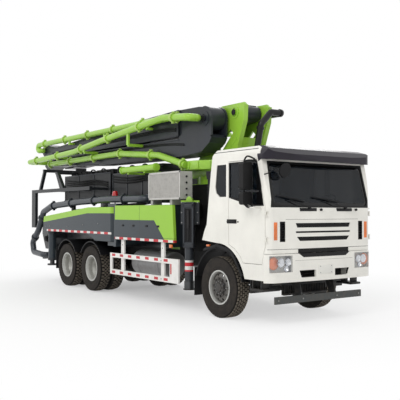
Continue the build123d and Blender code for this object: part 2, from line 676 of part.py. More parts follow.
# Seats, dashboard and steering wheel, seen through the glass
with BuildPart() as cab_interior:
    for y in (-560, 560):
        block((fx(180), y - 250, 1400 + SKIN), (fx(640), y + 250, 1560))
        slab(side([(120, 1560), (250, 1560), (130, 2230), (30, 2230)]), y - 240, y + 240)
        block((fx(120), y - 200, 1500), (fx(260), y + 200, 1560))
    slab(side([(1000, 1700), (1000, 1880), (1090, 1950), (CAB_FRONT - CAB_WALL - 60, 1950),
               (CAB_FRONT - CAB_WALL - 60, 1700)]), -CAB_HALF + CAB_WALL + 60, CAB_HALF - CAB_WALL - 60)
    for y in (-80, 80):
        block((fx(CAB_FRONT - CAB_WALL - 60), y - 20, 1720), (fx(CAB_FRONT - CAB_WALL - 0.8), y + 20, 1820))
    rod((fx(1060), 560, 1800), (fx(860), 560, 2030), 26)
    with BuildSketch(Plane(origin=(fx(860), 560, 2030), z_dir=(-200, 0, 230))) as wheel_rim:
        Circle(230)
        Circle(200, mode=Mode.SUBTRACT)
        Rectangle(420, 36)
        Circle(60)
    extrude(wheel_rim.sketch, amount=24)
save(cab_interior, "cab_interior")


# Air intake stack behind the cab
with BuildPart() as snorkel:
    block((fx(-720), -920, 1300), (fx(-560), -790, 2480))
    slab(side([(-720, 2480), (-560, 2480), (-540, 2560), (-540, 2630), (-740, 2630), (-740, 2560)]), -940, -770)
    block((fx(-700), -850, 1300), (fx(-580), -330, 1420))
    block((fx(-700), -430, RAIL_TOP), (fx(-580), -330, 1300))
save(snorkel, "snorkel")

# Mudguards over the front wheels and the bogie: axle X, outer and inner radius, lower edge, inner and outer Y
GUARDS = (
    (fx(0), 705, 682, 690, 800, 1222),
    (AXLE_2, 640, 615, 880, 560, 1222),
    (AXLE_3, 640, 615, 880, 560, 1222),
)


def mudguard(x, radius, inside, low, y_low, y_high):
    """An arched sheet over a wheel."""
    with BuildPart() as piece:
        rod((x, y_low, TYRE_R), (x, y_high, TYRE_R), radius)
        rod((x, y_low, TYRE_R), (x, y_high, TYRE_R), inside, mode=Mode.SUBTRACT)
        block((x - 900, y_low - 5, -900), (x + 900, y_high + 5, low), mode=Mode.SUBTRACT)
    return piece.part


guard_sheets = []
for hand in (-1, 1):
    for x, radius, inside, low, y_in, y_out in GUARDS:
        guard_sheets.append(mudguard(x, radius, inside, low, *sorted((hand * y_in, hand * y_out))))
with BuildPart() as mudguards:
    for sheet in guard_sheets:
        add(sheet)
    for hand in (-1, 1):
        for x in (AXLE_2, AXLE_3):
            block((x - 30, min(hand * 440, hand * 700), 1150), (x + 30, max(hand * 440, hand * 700), 1170))
        block((fx(-690), min(hand * RAIL_OUT, hand * 860), 700), (fx(-660), max(hand * RAIL_OUT, hand * 860), 780))
save(mudguards, "mudguards")

# Fuel and air tanks beside the frame
with BuildPart() as tanks:
    for hand in (-1, 1):
        rod((fx(-3350), hand * 790, 780), (fx(-2050), hand * 790, 780), 270)
        for x in (-3100, -2300):
            y_low, y_high = sorted((hand * RAIL_OUT, hand * 600))
            block((fx(x - 30), y_low, 860), (fx(x + 30), y_high, 940))
            rod((fx(x - 25), hand * 790, 780), (fx(x + 25), hand * 790, 780), 276)
save(tanks, "tanks")

# Lockers along both sides, their carriers and the thin front fascia
LOCKER = [(-3770, LOCKER_LOW), (-3770, LOCKER_TOP), (-1620, LOCKER_TOP), (-1620, LOCKER_LOW)]
FASCIA = [(-1640, LOCKER_LOW), (-1640, LOCKER_TOP), (-1430, LOCKER_TOP), (-1370, LOCKER_LOW)]
with BuildPart() as side_lockers:
    for hand in (-1, 1):
        slab(side(LOCKER), *sorted((hand * LOCKER_IN, hand * BODY_HALF)))
        slab(side(FASCIA), *sorted((hand * (BODY_HALF - 60), hand * BODY_HALF)))
        for x, y_in in ((-3500, 440), (-1880, 500)):
            y_low, y_high = sorted((hand * y_in, hand * 1150))
            block((fx(x - 60), y_low, 1160), (fx(x + 60), y_high, 1272))
save(side_lockers, "side_lockers")

# Side guards: a closed white frame with a solid front panel, on two posts
with BuildPart() as side_guards:
    for hand in (-1, 1):
        y_low, y_high = sorted((hand * (GUARD_Y - GUARD_T), hand * GUARD_Y))
        block((fx(-4020), y_low, 490), (fx(-1240), y_high, 960))
        block((fx(-3940), y_low - 1, 600), (fx(-1550), y_high + 1, 860), mode=Mode.SUBTRACT)
        for x_low, x_high in ((-3570, -3440), (-1920, -1800)):
            y_low, y_high = sorted((hand * 1165, hand * 1200))
            block((fx(x_low), y_low, 520), (fx(x_high), y_high, LOCKER_LOW))
save(side_guards, "side_guards")

# Pedestal, subframe, crossed outrigger housings and slewing ring
LEAN = cos(radians(45))


def along(hand):
    """Unit direction in which a front outrigger slides out."""
    return Vector(LEAN, hand * LEAN, 0)


def beam_box(hand, z, back, length, width, height, mode=Mode.ADD):
    """A bar along a front outrigger's direction, starting behind its leg."""
    d = along(hand)
    origin = Vector(fx(BEAM_ROOT[0]), -hand * BEAM_ROOT[1], z) - d * back
    with BuildSketch(Plane(origin=origin, x_dir=(0, 0, 1), z_dir=-d)) as section:
        Rectangle(height, width)
    extrude(section.sketch, amount=length, mode=mode)


BEAM_Z = {-1: RIGHT_BEAM_Z, 1: LEFT_BEAM_Z}
MOUTH = 132
HOUSING_LENGTH = BEAM_LENGTH - 20
CAVITY_W = BEAM_W - 2 * HOUSING_WALL
CAVITY_H = BEAM_H - 2 * HOUSING_WALL
with BuildPart() as pedestal:
    block((fx(-2600), -500, RAIL_TOP), (fx(-800), 500, 2430))
    block((fx(-2575), -475, 1200), (fx(-825), 475, 2400), mode=Mode.SUBTRACT)
    for hand in (-1, 1):
        y_low, y_high = sorted((hand * 360, hand * 440))
        block((fx(-8060), y_low, RAIL_TOP), (fx(-2580), y_high, DECK_TOP - 20))
        beam_box(hand, BEAM_Z[hand], MOUTH, HOUSING_LENGTH, BEAM_W, BEAM_H)
        beam_box(hand, BEAM_Z[hand], MOUTH, 25, BEAM_W + 70, BEAM_H + 70)
    for hand in (-1, 1):
        beam_box(hand, BEAM_Z[hand], MOUTH - 5, HOUSING_LENGTH + 10, CAVITY_W, CAVITY_H, mode=Mode.SUBTRACT)
    block((fx(-8060), -950, DECK_TOP - 20), (fx(-4400), 950, DECK_TOP))
    block((fx(-4401), -870, DECK_TOP - 20), (fx(-3950), 870, DECK_TOP))
    rod((fx(SLEW_X), 0, 2430), (fx(SLEW_X), 0, RING_TOP), RING_R)
    for hand in (-1, 1):
        y_low, y_high = sorted((hand * 440, hand * 1220))
        block((fx(-3895), y_low, 1100), (fx(-3785), y_high, 1190))
        y_low, y_high = sorted((hand * 1000, hand * 1210))
        block((fx(-3895), y_low, 1100), (fx(-3785), y_high, 2060))
        for z_low, z_high in ((1110, 1194), (1990, 2060)):
            block((fx(ARM_PIN[0] - 60), y_low, z_low), (fx(-3785), y_high, z_high))
            rod((fx(ARM_PIN[0]), -hand * ARM_PIN[1], z_low), (fx(ARM_PIN[0]), -hand * ARM_PIN[1], z_high), 105)
        rod((fx(ARM_PIN[0]), -hand * ARM_PIN[1], 1110), (fx(ARM_PIN[0]), -hand * ARM_PIN[1], 2060), ARM_PIN_R)
        lug = along(hand) * 185
        root = Vector(fx(BEAM_ROOT[0]), -hand * BEAM_ROOT[1], 0) - lug
        if hand == -1:
            rod((root.X, root.Y, RIGHT_BEAM_Z + BEAM_H / 2 - 5), (root.X, root.Y, 2130), 45)
save(pedestal, "pedestal")

# Oil cooler beside the turret
with BuildPart() as oil_cooler:
    block((fx(-2480), -1150, 2120), (fx(-1300), -870, 2660))
    for x in (-2450, -1720):
        block((fx(x), -1120, LOCKER_TOP), (fx(x + 80), -900, 2120))
save(oil_cooler, "oil_cooler")

# Deck tanks, and the pumping cylinders with their water box below them
with BuildPart() as deck_tanks:
    block((fx(-7900), -600, 2150), (fx(-5200), 600, 2850))
    block((fx(-5100), -600, 2150), (fx(-2950), 600, 2800))
    block((fx(-5220), -560, 2200), (fx(-5080), 560, 2700))
    for y in (-210, 210):
        rod((fx(-8060), y, 1680), (fx(-3000), y, 1680), 130)
    block((fx(-5900), -420, DECK_TOP), (fx(-5300), 420, 2050))
    for x in (-7600, -5600, -4700, -3300):
        block((fx(x - 60), -520, DECK_TOP), (fx(x + 60), -440, 2150))
        block((fx(x - 60), 440, DECK_TOP), (fx(x + 60), 520, 2150))
        block((fx(x - 60), -520, 1540), (fx(x + 60), 520, 1600))
save(deck_tanks, "deck_tanks")

# Deck delivery pipe on the right side, and a spare pipe on its rack
with BuildPart() as deck_pipe:
    hose([(fx(-2600), -200, 2145), (fx(-2775), -200, 2145), (fx(-2775), -1100, 2145), (fx(-4390), -1100, 2160),
          (fx(-5890), -1100, 2120), (fx(-7640), -1100, 2030), (fx(-8200), -1100, 1870), (fx(-8560), -1100, 1370),
          (fx(-8980), -1100, 1010), (fx(-8900), -1100, 740), (fx(-8150), -1100, 690), (fx(-8150), -440, 690)],
         105, 80, (0.1, 0.2, 0.36, 0.5, 0.62, 0.72, 0.8), 100)
    for x in (-3300, -5000, -6800):
        block((fx(x - 25), -1105, 2125), (fx(x + 25), -600, 2165))
    rod((fx(-3900), -1000, 2800), (fx(-2400), -1000, 2800), PIPE_R)
    for x in (-3880, -2470):
        rod((fx(x), -1000, 2800), (fx(x + 50), -1000, 2800), COLLAR_R - 6)
    for x in (-3600, -2900):
        block((fx(x - 25), -1020, 2700), (fx(x + 25), -600, 2740))
save(deck_pipe, "deck_pipe")

# Rear frame with the boom rest on its crossbars, and the saddle under the first section
REST_TOP = 3040
SADDLE_TOP = 3110
with BuildPart() as boom_rest:
    for hand in (-1, 1):
        y_low, y_high = sorted((hand * 1050, hand * 1130))
        block((fx(-9000), y_low, 2400), (fx(-5300), y_high, 2490))
        block((fx(-9000), y_low, 1430), (fx(-8740), y_high, 2450))
        slab(side([(-8490, 2480), (-8400, 2480), (-8120, 2960), (-8120, REST_TOP), (-8200, REST_TOP),
                   (-8200, 2960)]), y_low, y_high)
        slab(side([(-7360, 2930), (-7240, 2930), (-6840, 2480), (-7060, 2480)]), y_low, y_high)
        for x in (-7600, -6400, -5400):
            y_low, y_high = sorted((hand * (600 + SKIN), hand * 1060))
            block((fx(x - 30), y_low, 2410), (fx(x + 30), y_high, 2470))
        y_low, y_high = sorted((hand * (800 + SKIN), hand * 1060))
        block((fx(-8980), y_low, 1450), (fx(-8900), y_high, 1600))
    block((fx(-8200), -1130, REST_TOP - 80), (fx(-8120), 1130, REST_TOP))
    block((fx(-8195), -150, REST_TOP - 5), (fx(-8125), 150, SADDLE_TOP))
    block((fx(-7350), -1130, 2870), (fx(-7270), 1130, 2930))
save(boom_rest, "boom_rest")

# Hopper: an open tub under the boom rest
with BuildPart() as hopper:
    TUB = [(-9020, 1620), (-8110, 1620), (-8110, 1150), (-8300, 830), (-8780, 830), (-9020, 1250)]
    slab(side(TUB), -800, 800)
    slab(side([(-8990, 1650), (-8140, 1650), (-8140, 1160), (-8315, 860), (-8765, 860), (-8990, 1260)]),
         -770, 770, mode=Mode.SUBTRACT)
    for y in (-400, 400):
        block((fx(-8112), y - 40, 1100), (fx(-8060), y + 40, 1330))
    for hand in (-1, 1):
        y_low, y_high = sorted((hand * 700, hand * 790))
        block((fx(-8110), y_low, 1600), (fx(-8070), y_high, 1690))
    rod((fx(-8090), -790, 1670), (fx(-8090), 790, 1670), 12)
    rod((fx(-8760), -300, 930), (fx(-8760), 300, 930), 60)
save(hopper, "hopper")

# Hopper grate, hinged at its front edge
with BuildPart() as hopper_grate:
    block((fx(-9010), -760, 1630), (fx(-8150), 760, 1655))
    with Locations(*[(fx(x), y, 1640) for x in range(-8900, -8200, 110) for y in (-555, -185, 185, 555)]):
        Box(70, 320, 60, mode=Mode.SUBTRACT)
    for y in (-500, 500):
        block((fx(-8160), y - 40, 1630), (fx(-8090), y + 40, 1655))
        rod((fx(-8090), y - 40, 1670), (fx(-8090), y + 40, 1670), 28)
        rod((fx(-8090), y - 41, 1670), (fx(-8090), y + 41, 1670), 12 + FIT, mode=Mode.SUBTRACT)
save(hopper_grate, "hopper_grate")


def front_leg(hand):
    """Sliding beam, head plate, column and jack tube of a front outrigger."""
    z = BEAM_Z[hand]
    d = along(hand)
    root = Vector(fx(BEAM_ROOT[0]), -hand * BEAM_ROOT[1], 0)
    with BuildPart() as piece:
        beam_box(hand, z, 60, BEAM_LENGTH, CAVITY_W - 2 * GAP, CAVITY_H - 2 * GAP)
        beam_box(hand, z, BEAM_LENGTH, 60, CAVITY_W - 2 * SKIN, CAVITY_H - 2 * SKIN)
        with BuildSketch(Plane(origin=root + Vector(0, 0, LEG_LOW), x_dir=d, z_dir=(0, 0, 1))) as column:
            Rectangle(LEG_SIDE, LEG_SIDE)
        extrude(column.sketch, amount=LEG_TOP - LEG_LOW)
        z_mid, height = (1860, 460) if hand == -1 else (1725, 650)
        beam_box(hand, z_mid, 80, 42, 360, height)
        rod((root.X, root.Y, TUBE_LOW), (root.X, root.Y, LEG_LOW + 10), TUBE_R)
        rod((root.X, root.Y, LEG_LOW), (root.X, root.Y, LEG_LOW + 60), 117)
        rod((root.X, root.Y, TUBE_LOW - 1), (root.X, root.Y, LEG_LOW - 40), JACK_R + FIT, mode=Mode.SUBTRACT)
    return piece


def front_jack(hand):
    """Jack rod with its foot sleeve."""
    x, y = fx(BEAM_ROOT[0]), -hand * BEAM_ROOT[1]
    with BuildPart() as piece:
        rod((x, y, FOOT_LOW), (x, y, TUBE_LOW - GAP), 95)
        rod((x, y, TUBE_LOW - GAP - 1), (x, y, LEG_LOW - 60), JACK_R)
    return piece


ARM = [
    (-7850, 1600), (-7810, 1750), (-5120, 1980), (-3935, 1980), (-3935, 1204), (-4730, 1204), (-5190, 1360),
    (-7800, 1360), (-7850, 1400),
]


def rear_arm(hand):
    """Swinging rear outrigger arm with its jack tube."""
    pin = (fx(ARM_PIN[0]), -hand * ARM_PIN[1])
    with BuildPart() as piece:
        slab(side(ARM), *sorted((-hand * ARM_IN, hand * BODY_HALF)))
        with BuildSketch(Plane.XY.offset(1100)) as nose:
            with Locations(pin):
                Circle(200)
            with Locations((pin[0] - 2200, pin[1])):
                Rectangle(4400, 600)
        extrude(nose.sketch, amount=1000, mode=Mode.INTERSECT)
        rod((*pin, 1100), (*pin, 2100), ARM_PIN_R + FIT, mode=Mode.SUBTRACT)
        x, y = fx(REAR_LEG_X), hand * 1112
        rod((x, y, 580), (x, y, 1400), REAR_TUBE_R)
        rod((x, y, 579), (x, y, 1350), REAR_ROD_R + FIT, mode=Mode.SUBTRACT)
    return piece


def rear_jack(hand):
    """Jack rod with a round foot plate."""
    x, y = fx(REAR_LEG_X), hand * 1112
    with BuildPart() as piece:
        rod((x, y, REAR_FOOT_LOW), (x, y, REAR_FOOT_LOW + 40), 128)
        rod((x, y, REAR_FOOT_LOW + 39), (x, y, 1330), REAR_ROD_R)
    return piece


for name, hand in (("right", -1), ("left", 1)):
    save(front_leg(hand), f"front_leg_{name}")
    save(front_jack(hand), f"front_jack_{name}")
    save(rear_arm(hand), f"rear_arm_{name}")
    save(rear_jack(hand), f"rear_jack_{name}")

# Turret: base block on the ring, two cheek plates and the boom foot pin
TURRET_BASE = RING_TOP + SKIN
CHEEK = [
    (-340, 3900), (-360, 3600), (-540, 3140), (-620, 2790), (-1960, 2790), (-1960, 2860), (-1420, 3530),
    (-1560, 3830), (-1080, 3955), (-400, 3955),
]
CHEEK_FLANGE = [(-340, 3900), (-360, 3600), (-540, 3140), (-620, 2790), (-650, 2790), (-572, 3145), (-392, 3605),
                (-370, 3890)]
CHEEK_SLOT = [(-740, 3400), (-820, 3480), (-1200, 3130), (-1120, 3050)]
with BuildPart() as turret:
    rod((fx(SLEW_X), 0, TURRET_BASE), (fx(SLEW_X), 0, TURRET_BASE + 60), RING_R)
    slab(side([(-2140, 2560), (-2140, 2720), (-2020, 2800), (-900, 2800), (-820, 2720), (-820, 2560)]), -450, 450)
    for hand in (-1, 1):
        y_low, y_high = sorted((hand * (TURRET_HALF - TURRET_PLATE), hand * TURRET_HALF))
        slab(side(CHEEK), y_low, y_high)
        slab(side(CHEEK_SLOT), y_low - 5, y_high + 5, mode=Mode.SUBTRACT)
        slab(side(CHEEK_FLANGE), *sorted((hand * 245, hand * 345)))
        rod((fx(PIVOT_1[0]), y_low, PIVOT_1[1]), (fx(PIVOT_1[0]), y_high, PIVOT_1[1]), 130)
        y_low, y_high = sorted((hand * 70, hand * 100))
        slab(side([(-1340, 2790), (-1040, 2790), (-1130, 3050), (-1270, 3050)]), y_low, y_high)
    slab(side([(-690, 2790), (-630, 2790), (-520, 3300), (-580, 3300)]), -TURRET_HALF + 5, TURRET_HALF - 5)
    rod((fx(PIVOT_1[0]), -TURRET_HALF - 30, PIVOT_1[1]), (fx(PIVOT_1[0]), TURRET_HALF + 8, PIVOT_1[1]), PIN_R)
    rod((fx(-1200), -110, 2950), (fx(-1200), 110, 2950), 35)
save(turret, "turret")

# Riser pipe up the front of the turret to the boom foot's left side
with BuildPart() as turret_pipe:
    hose([(fx(-603), 0, 2850), (fx(-370), 0, 2850), (fx(-360), 0, 3150), (fx(-260), 0, 3540),
          (fx(-260), 250, 3790), (fx(-260), 542, 3790), (fx(-680), 542, 3790), (fx(-680), 458, 3790)],
         78, 62, (0.12, 0.42, 0.75), 76)
save(turret_pipe, "turret_pipe")

# Lift cylinder: barrel on the turret, rod eye between the boom's lugs
LIFT_LOW = (-1200, 2950)
LIFT_HIGH = (-2600, 3270)
with BuildPart() as lift_cylinder:
    reach = Vector(LIFT_HIGH[0] - LIFT_LOW[0], 0, LIFT_HIGH[1] - LIFT_LOW[1])
    unit = reach.normalized()
    foot = Vector(fx(LIFT_LOW[0]), 0, LIFT_LOW[1])
    head = Vector(fx(LIFT_HIGH[0]), 0, LIFT_HIGH[1])
    rod(foot, foot + unit * 180, 56)
    rod(foot + unit * 178, foot + unit * 1050, 105)
    rod(foot + unit * 1040, head, 58)
    for eye, radius in ((foot, 80), (head, 78)):
        rod((eye.X, -60, eye.Z), (eye.X, 60, eye.Z), radius)
    rod((foot.X, -61, foot.Z), (foot.X, 61, foot.Z), 35 + FIT, mode=Mode.SUBTRACT)
    rod((head.X, -61, head.Z), (head.X, 61, head.Z), 40, mode=Mode.SUBTRACT)
save(lift_cylinder, "lift_cylinder")

# First boom section, centre lane: side outline, foot bosses and the hollow pin of the second joint
BOOM_1 = [
    (-640, 3950), (-2000, 3955), (-8800, 3425), (-8905, 3330), (-8905, 3200), (-8800, 3112), (-8300, 3122),
    (-2300, 3440), (-1900, 3450), (-640, 3630),
]
with BuildPart() as boom_1:
    slab(side(BOOM_1), -200, 200)
    rod((fx(PIVOT_1[0]), -LANE_1, PIVOT_1[1]), (fx(PIVOT_1[0]), LANE_1, PIVOT_1[1]), 150)
    rod((fx(PIVOT_1[0]), -250, PIVOT_1[1]), (fx(PIVOT_1[0]), 250, PIVOT_1[1]), PIN_R + FIT, mode=Mode.SUBTRACT)
    rod((fx(JOINT_2[0]), -LANE_IN + GAP, JOINT_2[1]), (fx(JOINT_2[0]), 218, JOINT_2[1]), 105)
    rod((fx(JOINT_2[0]), -785, JOINT_2[1]), (fx(JOINT_2[0]), -300, JOINT_2[1]), PIN_R)
    for y in (-95, 65):
        slab(side([(-2400, 3460), (-2800, 3440), (-2690, 3190), (-2510, 3190)]), y, y + 30)
    for y in (-95, 65):
        rod((fx(LIFT_HIGH[0]), y - 1, LIFT_HIGH[1]), (fx(LIFT_HIGH[0]), y + 31, LIFT_HIGH[1]), 40, mode=Mode.SUBTRACT)
save(boom_1, "boom_1")

with BuildPart() as pipe_1:
    hose([(fx(-680), 455, 3790), (fx(-680), 385, 3790), (fx(-1900), 385, 3740), (fx(-2350), 288, 3720),
          (fx(-8400), 288, 3300), (fx(JOINT_2[0]), 288, JOINT_2[1]), (fx(JOINT_2[0]), 219, JOINT_2[1])],
         66, 62, (0.3, 0.5, 0.7, 0.9), 70)
    for x, z in ((-3500, 3640), (-5500, 3501), (-7500, 3362)):
        block((fx(x - 40), 200, z - 30), (fx(x + 40), 288, z + 30))
save(pipe_1, "pipe_1")

# Second boom section, right lane: box beam, fork round the third joint, and its pin
BOOM_2 = [
    (-8950, 3180), (-8950, 3330), (-8900, 3385), (-1700, 3362), (-900, 3362), (-830, 3300), (-900, 3200),
    (-1180, 3030), (-1800, 2985), (-2700, 2985), (-5500, 3020), (-7900, 3140), (-8400, 3140), (-8620, 3070),
    (-8800, 3075),
]
FORK = [(-1940, 3340), (-1940, 3400), (-1270, 3790), (-830, 3740), (-830, 3340)]
HUB_R = 240
with BuildPart() as boom_2:
    slab(side(BOOM_2), -LANE_OUT, -LANE_IN)
    for y in (-LANE_OUT, -LANE_IN - 38):
        slab(side(FORK), y, y + 38)
        rod((fx(JOINT_3[0]), y, JOINT_3[1]), (fx(JOINT_3[0]), y + 38, JOINT_3[1]), HUB_R)
    rod((fx(JOINT_3[0]), -LANE_OUT - 35, JOINT_3[1]), (fx(JOINT_3[0]), -LANE_IN + 20, JOINT_3[1]), PIN_R)
    rod((fx(JOINT_2[0]), -LANE_OUT - 5, JOINT_2[1]), (fx(JOINT_2[0]), -LANE_IN + 5, JOINT_2[1]), PIN_R + FIT,
        mode=Mode.SUBTRACT)
save(boom_2, "boom_2")

SWIVEL_3 = -995
with BuildPart() as pipe_2:
    hose([(fx(JOINT_2[0]), -795, JOINT_2[1]), (fx(JOINT_2[0]), -962, JOINT_2[1]), (fx(-9210), -962, 3300),
          (fx(-9210), -1130, 3300), (fx(-7780), -1130, 3330), (fx(-6180), -1130, 3380), (fx(-4800), -1130, 3520),
          (fx(-1970), -1130, 3760), (fx(JOINT_3[0]), -1130, JOINT_3[1]), (fx(JOINT_3[0]), SWIVEL_3 - 3, JOINT_3[1])],
         78, PIPE_R, (0.14, 0.3, 0.46, 0.62, 0.78, 0.93))
    for x, z in ((-7400, 3330), (-5600, 3330), (-3400, 3330)):
        block((fx(x - 40), -1130, z - 30), (fx(x + 40), -LANE_OUT, z + 26))
    block((fx(-5640), -1150, 3330), (fx(-5560), -1110, 3430))
    block((fx(-3440), -1150, 3330), (fx(-3360), -1110, 3640))
with BuildPart() as pipe_c:
    hose([(fx(-8350), -860, 3200), (fx(-4300), -860, 3220), (fx(-2550), -860, 3060), (fx(-1550), -860, 2800)],
         300, PIPE_R, (0.01, 0.2, 0.4, 0.6, 0.8, 0.985))
    for x, z in ((-7400, 3205), (-5600, 3214), (-3400, 3138)):
        block((fx(x - 40), -860, z - 30), (fx(x + 40), -LANE_OUT, z + 30))
with BuildPart() as pipes_2:
    add(pipe_2.part)
    add(pipe_c.part)
save(pipes_2, "pipes_2")

# Third boom section, above the second: narrow foot in the fork, beam, and the cross shaft to the left lane
BOOM_3_FOOT = [(-1060, 3908), (-1300, 3940), (-2000, 3955), (-2000, 3405), (-1060, 3452)]
BOOM_3 = [
    (-1980, 3956), (-4300, 3880), (-8100, 3670), (-8400, 3700), (-8900, 3800), (-9040, 3790), (-9130, 3700),
    (-9130, 3560), (-9040, 3480), (-8500, 3430), (-8100, 3405), (-1980, 3405),
]
with BuildPart() as boom_3:
    slab(side(BOOM_3_FOOT), -LANE_OUT + 44, -LANE_IN - 44)
    rod((fx(JOINT_3[0]), -LANE_OUT + 44, JOINT_3[1]), (fx(JOINT_3[0]), -LANE_IN - 44, JOINT_3[1]), 228)
    slab(side(BOOM_3), -LANE_OUT, -LANE_IN)
    rod((fx(JOINT_3[0]), -LANE_OUT, JOINT_3[1]), (fx(JOINT_3[0]), -LANE_IN, JOINT_3[1]), PIN_R + FIT,
        mode=Mode.SUBTRACT)
    rod((fx(JOINT_4[0]), -LANE_OUT - 20, JOINT_4[1]), (fx(JOINT_4[0]), LEFT_OUT + 40, JOINT_4[1]), SHAFT_R)
save(boom_3, "boom_3")

with BuildPart() as pipe_3:
    hose([(fx(JOINT_3[0]), SWIVEL_3 + 3, JOINT_3[1]), (fx(JOINT_3[0]), -880, JOINT_3[1]), (fx(-2000), -880, 3800),
          (fx(-9150), -880, 3800), (fx(-9150), -880, JOINT_4[1]), (fx(JOINT_4[0]), -880, JOINT_4[1]),
          (fx(JOINT_4[0]), -778, JOINT_4[1])], 78, PIPE_R, (0.1, 0.26, 0.42, 0.58, 0.74, 0.9))
    for x in (-3000, -5000, -7000):
        block((fx(x - 40), -880, 3640), (fx(x + 40), -LANE_OUT, 3690))
        block((fx(x - 40), -900, 3640), (fx(x + 40), -860, 3800))
save(pipe_3, "pipe_3")

# Fourth boom section, left lane, with its pipe on the outer side
BOOM_4 = [
    (-9110, 3560), (-9110, 3700), (-9040, 3780), (-8880, 3790), (-8760, 3700), (-8600, 3600), (-3000, 3600),
    (-2900, 3425), (-2640, 3425), (-2560, 3340), (-2900, 3300), (-8400, 3300), (-8700, 3420), (-9000, 3470),
]
PIPE_4_R = 55
with BuildPart() as boom_4:
    slab(side(BOOM_4), LEFT_IN, LEFT_OUT)
    for y in (LEFT_IN, LEFT_OUT - 26):
        slab(side([(-3050, 3500), (-2900, 3400), (-2560, 3400), (-2520, 3560), (-2700, 3830)]), y, y + 26)
        rod((fx(JOINT_5[0]), y, JOINT_5[1]), (fx(JOINT_5[0]), y + 26, JOINT_5[1]), 205)
    rod((fx(JOINT_5[0]), LEFT_IN, JOINT_5[1]), (fx(JOINT_5[0]), LEFT_OUT + 18, JOINT_5[1]), 45)
    rod((fx(JOINT_4[0]), LEFT_IN - 5, JOINT_4[1]), (fx(JOINT_4[0]), LEFT_OUT + 5, JOINT_4[1]), SHAFT_R + FIT,
        mode=Mode.SUBTRACT)
    hose([(fx(JOINT_4[0]), LEFT_OUT + 45, JOINT_4[1]), (fx(JOINT_4[0]), PIPE_4_Y, JOINT_4[1]),
          (fx(-8500), PIPE_4_Y, 3450), (fx(-2960), PIPE_4_Y, 3450), (fx(JOINT_5[0]), PIPE_4_Y, JOINT_5[1]),
          (fx(JOINT_5[0]), PIPE_4_Y + 80, JOINT_5[1])], 66, PIPE_4_R, (0.2, 0.5, 0.8), 70)
    for x in (-7600, -5800, -4000):
        block((fx(x - 30), LEFT_OUT - 5, 3425), (fx(x + 30), PIPE_4_Y, 3475))
save(boom_4, "boom_4")

# Fifth boom section above the fourth, with its pipe and the end elbow
BOOM_5 = [(-3070, 3850), (-7700, 3790), (-7800, 3750), (-7800, 3690), (-7700, 3660), (-3070, 3625)]
with BuildPart() as boom_5:
    slab(side([(-2700, 3825), (-3080, 3850), (-3080, 3625), (-2960, 3612), (-2850, 3560)]),
         LEFT_IN + 32, LEFT_OUT - 32)
    rod((fx(JOINT_5[0]), LEFT_IN + 32, JOINT_5[1]), (fx(JOINT_5[0]), LEFT_OUT - 32, JOINT_5[1]), 185)
    slab(side(BOOM_5), LEFT_IN + 32, LEFT_OUT - 32)
    rod((fx(JOINT_5[0]), LEFT_IN, JOINT_5[1]), (fx(JOINT_5[0]), LEFT_OUT, JOINT_5[1]), 45 + FIT, mode=Mode.SUBTRACT)
    hose([(fx(JOINT_5[0]), PIPE_4_Y + 86, JOINT_5[1]), (fx(JOINT_5[0]), PIPE_5_Y + 14, JOINT_5[1]),
          (fx(-3100), PIPE_5_Y, 3760), (fx(-8050), PIPE_5_Y, 3720), (fx(-8200), PIPE_5_Y, 3500)],
         66, PIPE_4_R, (0.25, 0.5, 0.75), 70)
    for x in (-4200, -5800, -7400):
        block((fx(x - 30), LEFT_OUT - 40, 3715), (fx(x + 30), PIPE_5_Y, 3755))
save(boom_5, "boom_5")
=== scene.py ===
import json
import math

import bmesh
import bpy
from mathutils import Matrix, Vector

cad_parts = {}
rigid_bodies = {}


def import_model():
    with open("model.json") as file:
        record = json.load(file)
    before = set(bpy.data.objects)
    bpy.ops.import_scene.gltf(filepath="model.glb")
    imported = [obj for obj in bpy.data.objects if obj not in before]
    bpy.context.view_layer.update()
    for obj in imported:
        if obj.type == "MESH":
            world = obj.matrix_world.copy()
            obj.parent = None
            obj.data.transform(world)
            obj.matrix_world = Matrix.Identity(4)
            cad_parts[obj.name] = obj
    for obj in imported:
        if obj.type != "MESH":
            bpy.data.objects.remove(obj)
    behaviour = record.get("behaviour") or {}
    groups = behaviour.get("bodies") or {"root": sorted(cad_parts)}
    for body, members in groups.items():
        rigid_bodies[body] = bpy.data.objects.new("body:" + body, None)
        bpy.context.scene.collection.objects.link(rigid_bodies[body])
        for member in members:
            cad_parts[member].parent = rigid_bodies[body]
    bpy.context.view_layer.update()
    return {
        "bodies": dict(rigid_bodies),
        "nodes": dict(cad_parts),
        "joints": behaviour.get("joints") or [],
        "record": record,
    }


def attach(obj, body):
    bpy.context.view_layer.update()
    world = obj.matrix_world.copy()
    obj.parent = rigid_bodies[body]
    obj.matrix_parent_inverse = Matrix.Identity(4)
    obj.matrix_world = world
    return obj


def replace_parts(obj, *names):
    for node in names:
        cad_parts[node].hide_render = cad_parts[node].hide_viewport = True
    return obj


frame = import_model()
NODES = frame["nodes"]

# X of the three axles in the model's frame. Places are given by their distance ahead of the first
AXLE_1 = 3.93
AXLE_2 = AXLE_1 - 5.05
AXLE_3 = AXLE_2 - 1.37
ROWS = (("mid", AXLE_2), ("rear", AXLE_3))
# Radius of the tyres, and of the feet of the tread blocks under the groove floor
TYRE_R = 0.54
BLOCK_ROOT = 0.52
HANDS = (("right", -1), ("left", 1))
# Distances of the wheels' middle planes from the vehicle's middle: outer, inner, and where twins meet
TRACK = 1.068
INNER_TRACK = 0.728
MATE = 0.898


def fx(x):
    """X in the model's frame of a point x metres ahead of the front axle."""
    return AXLE_1 + x


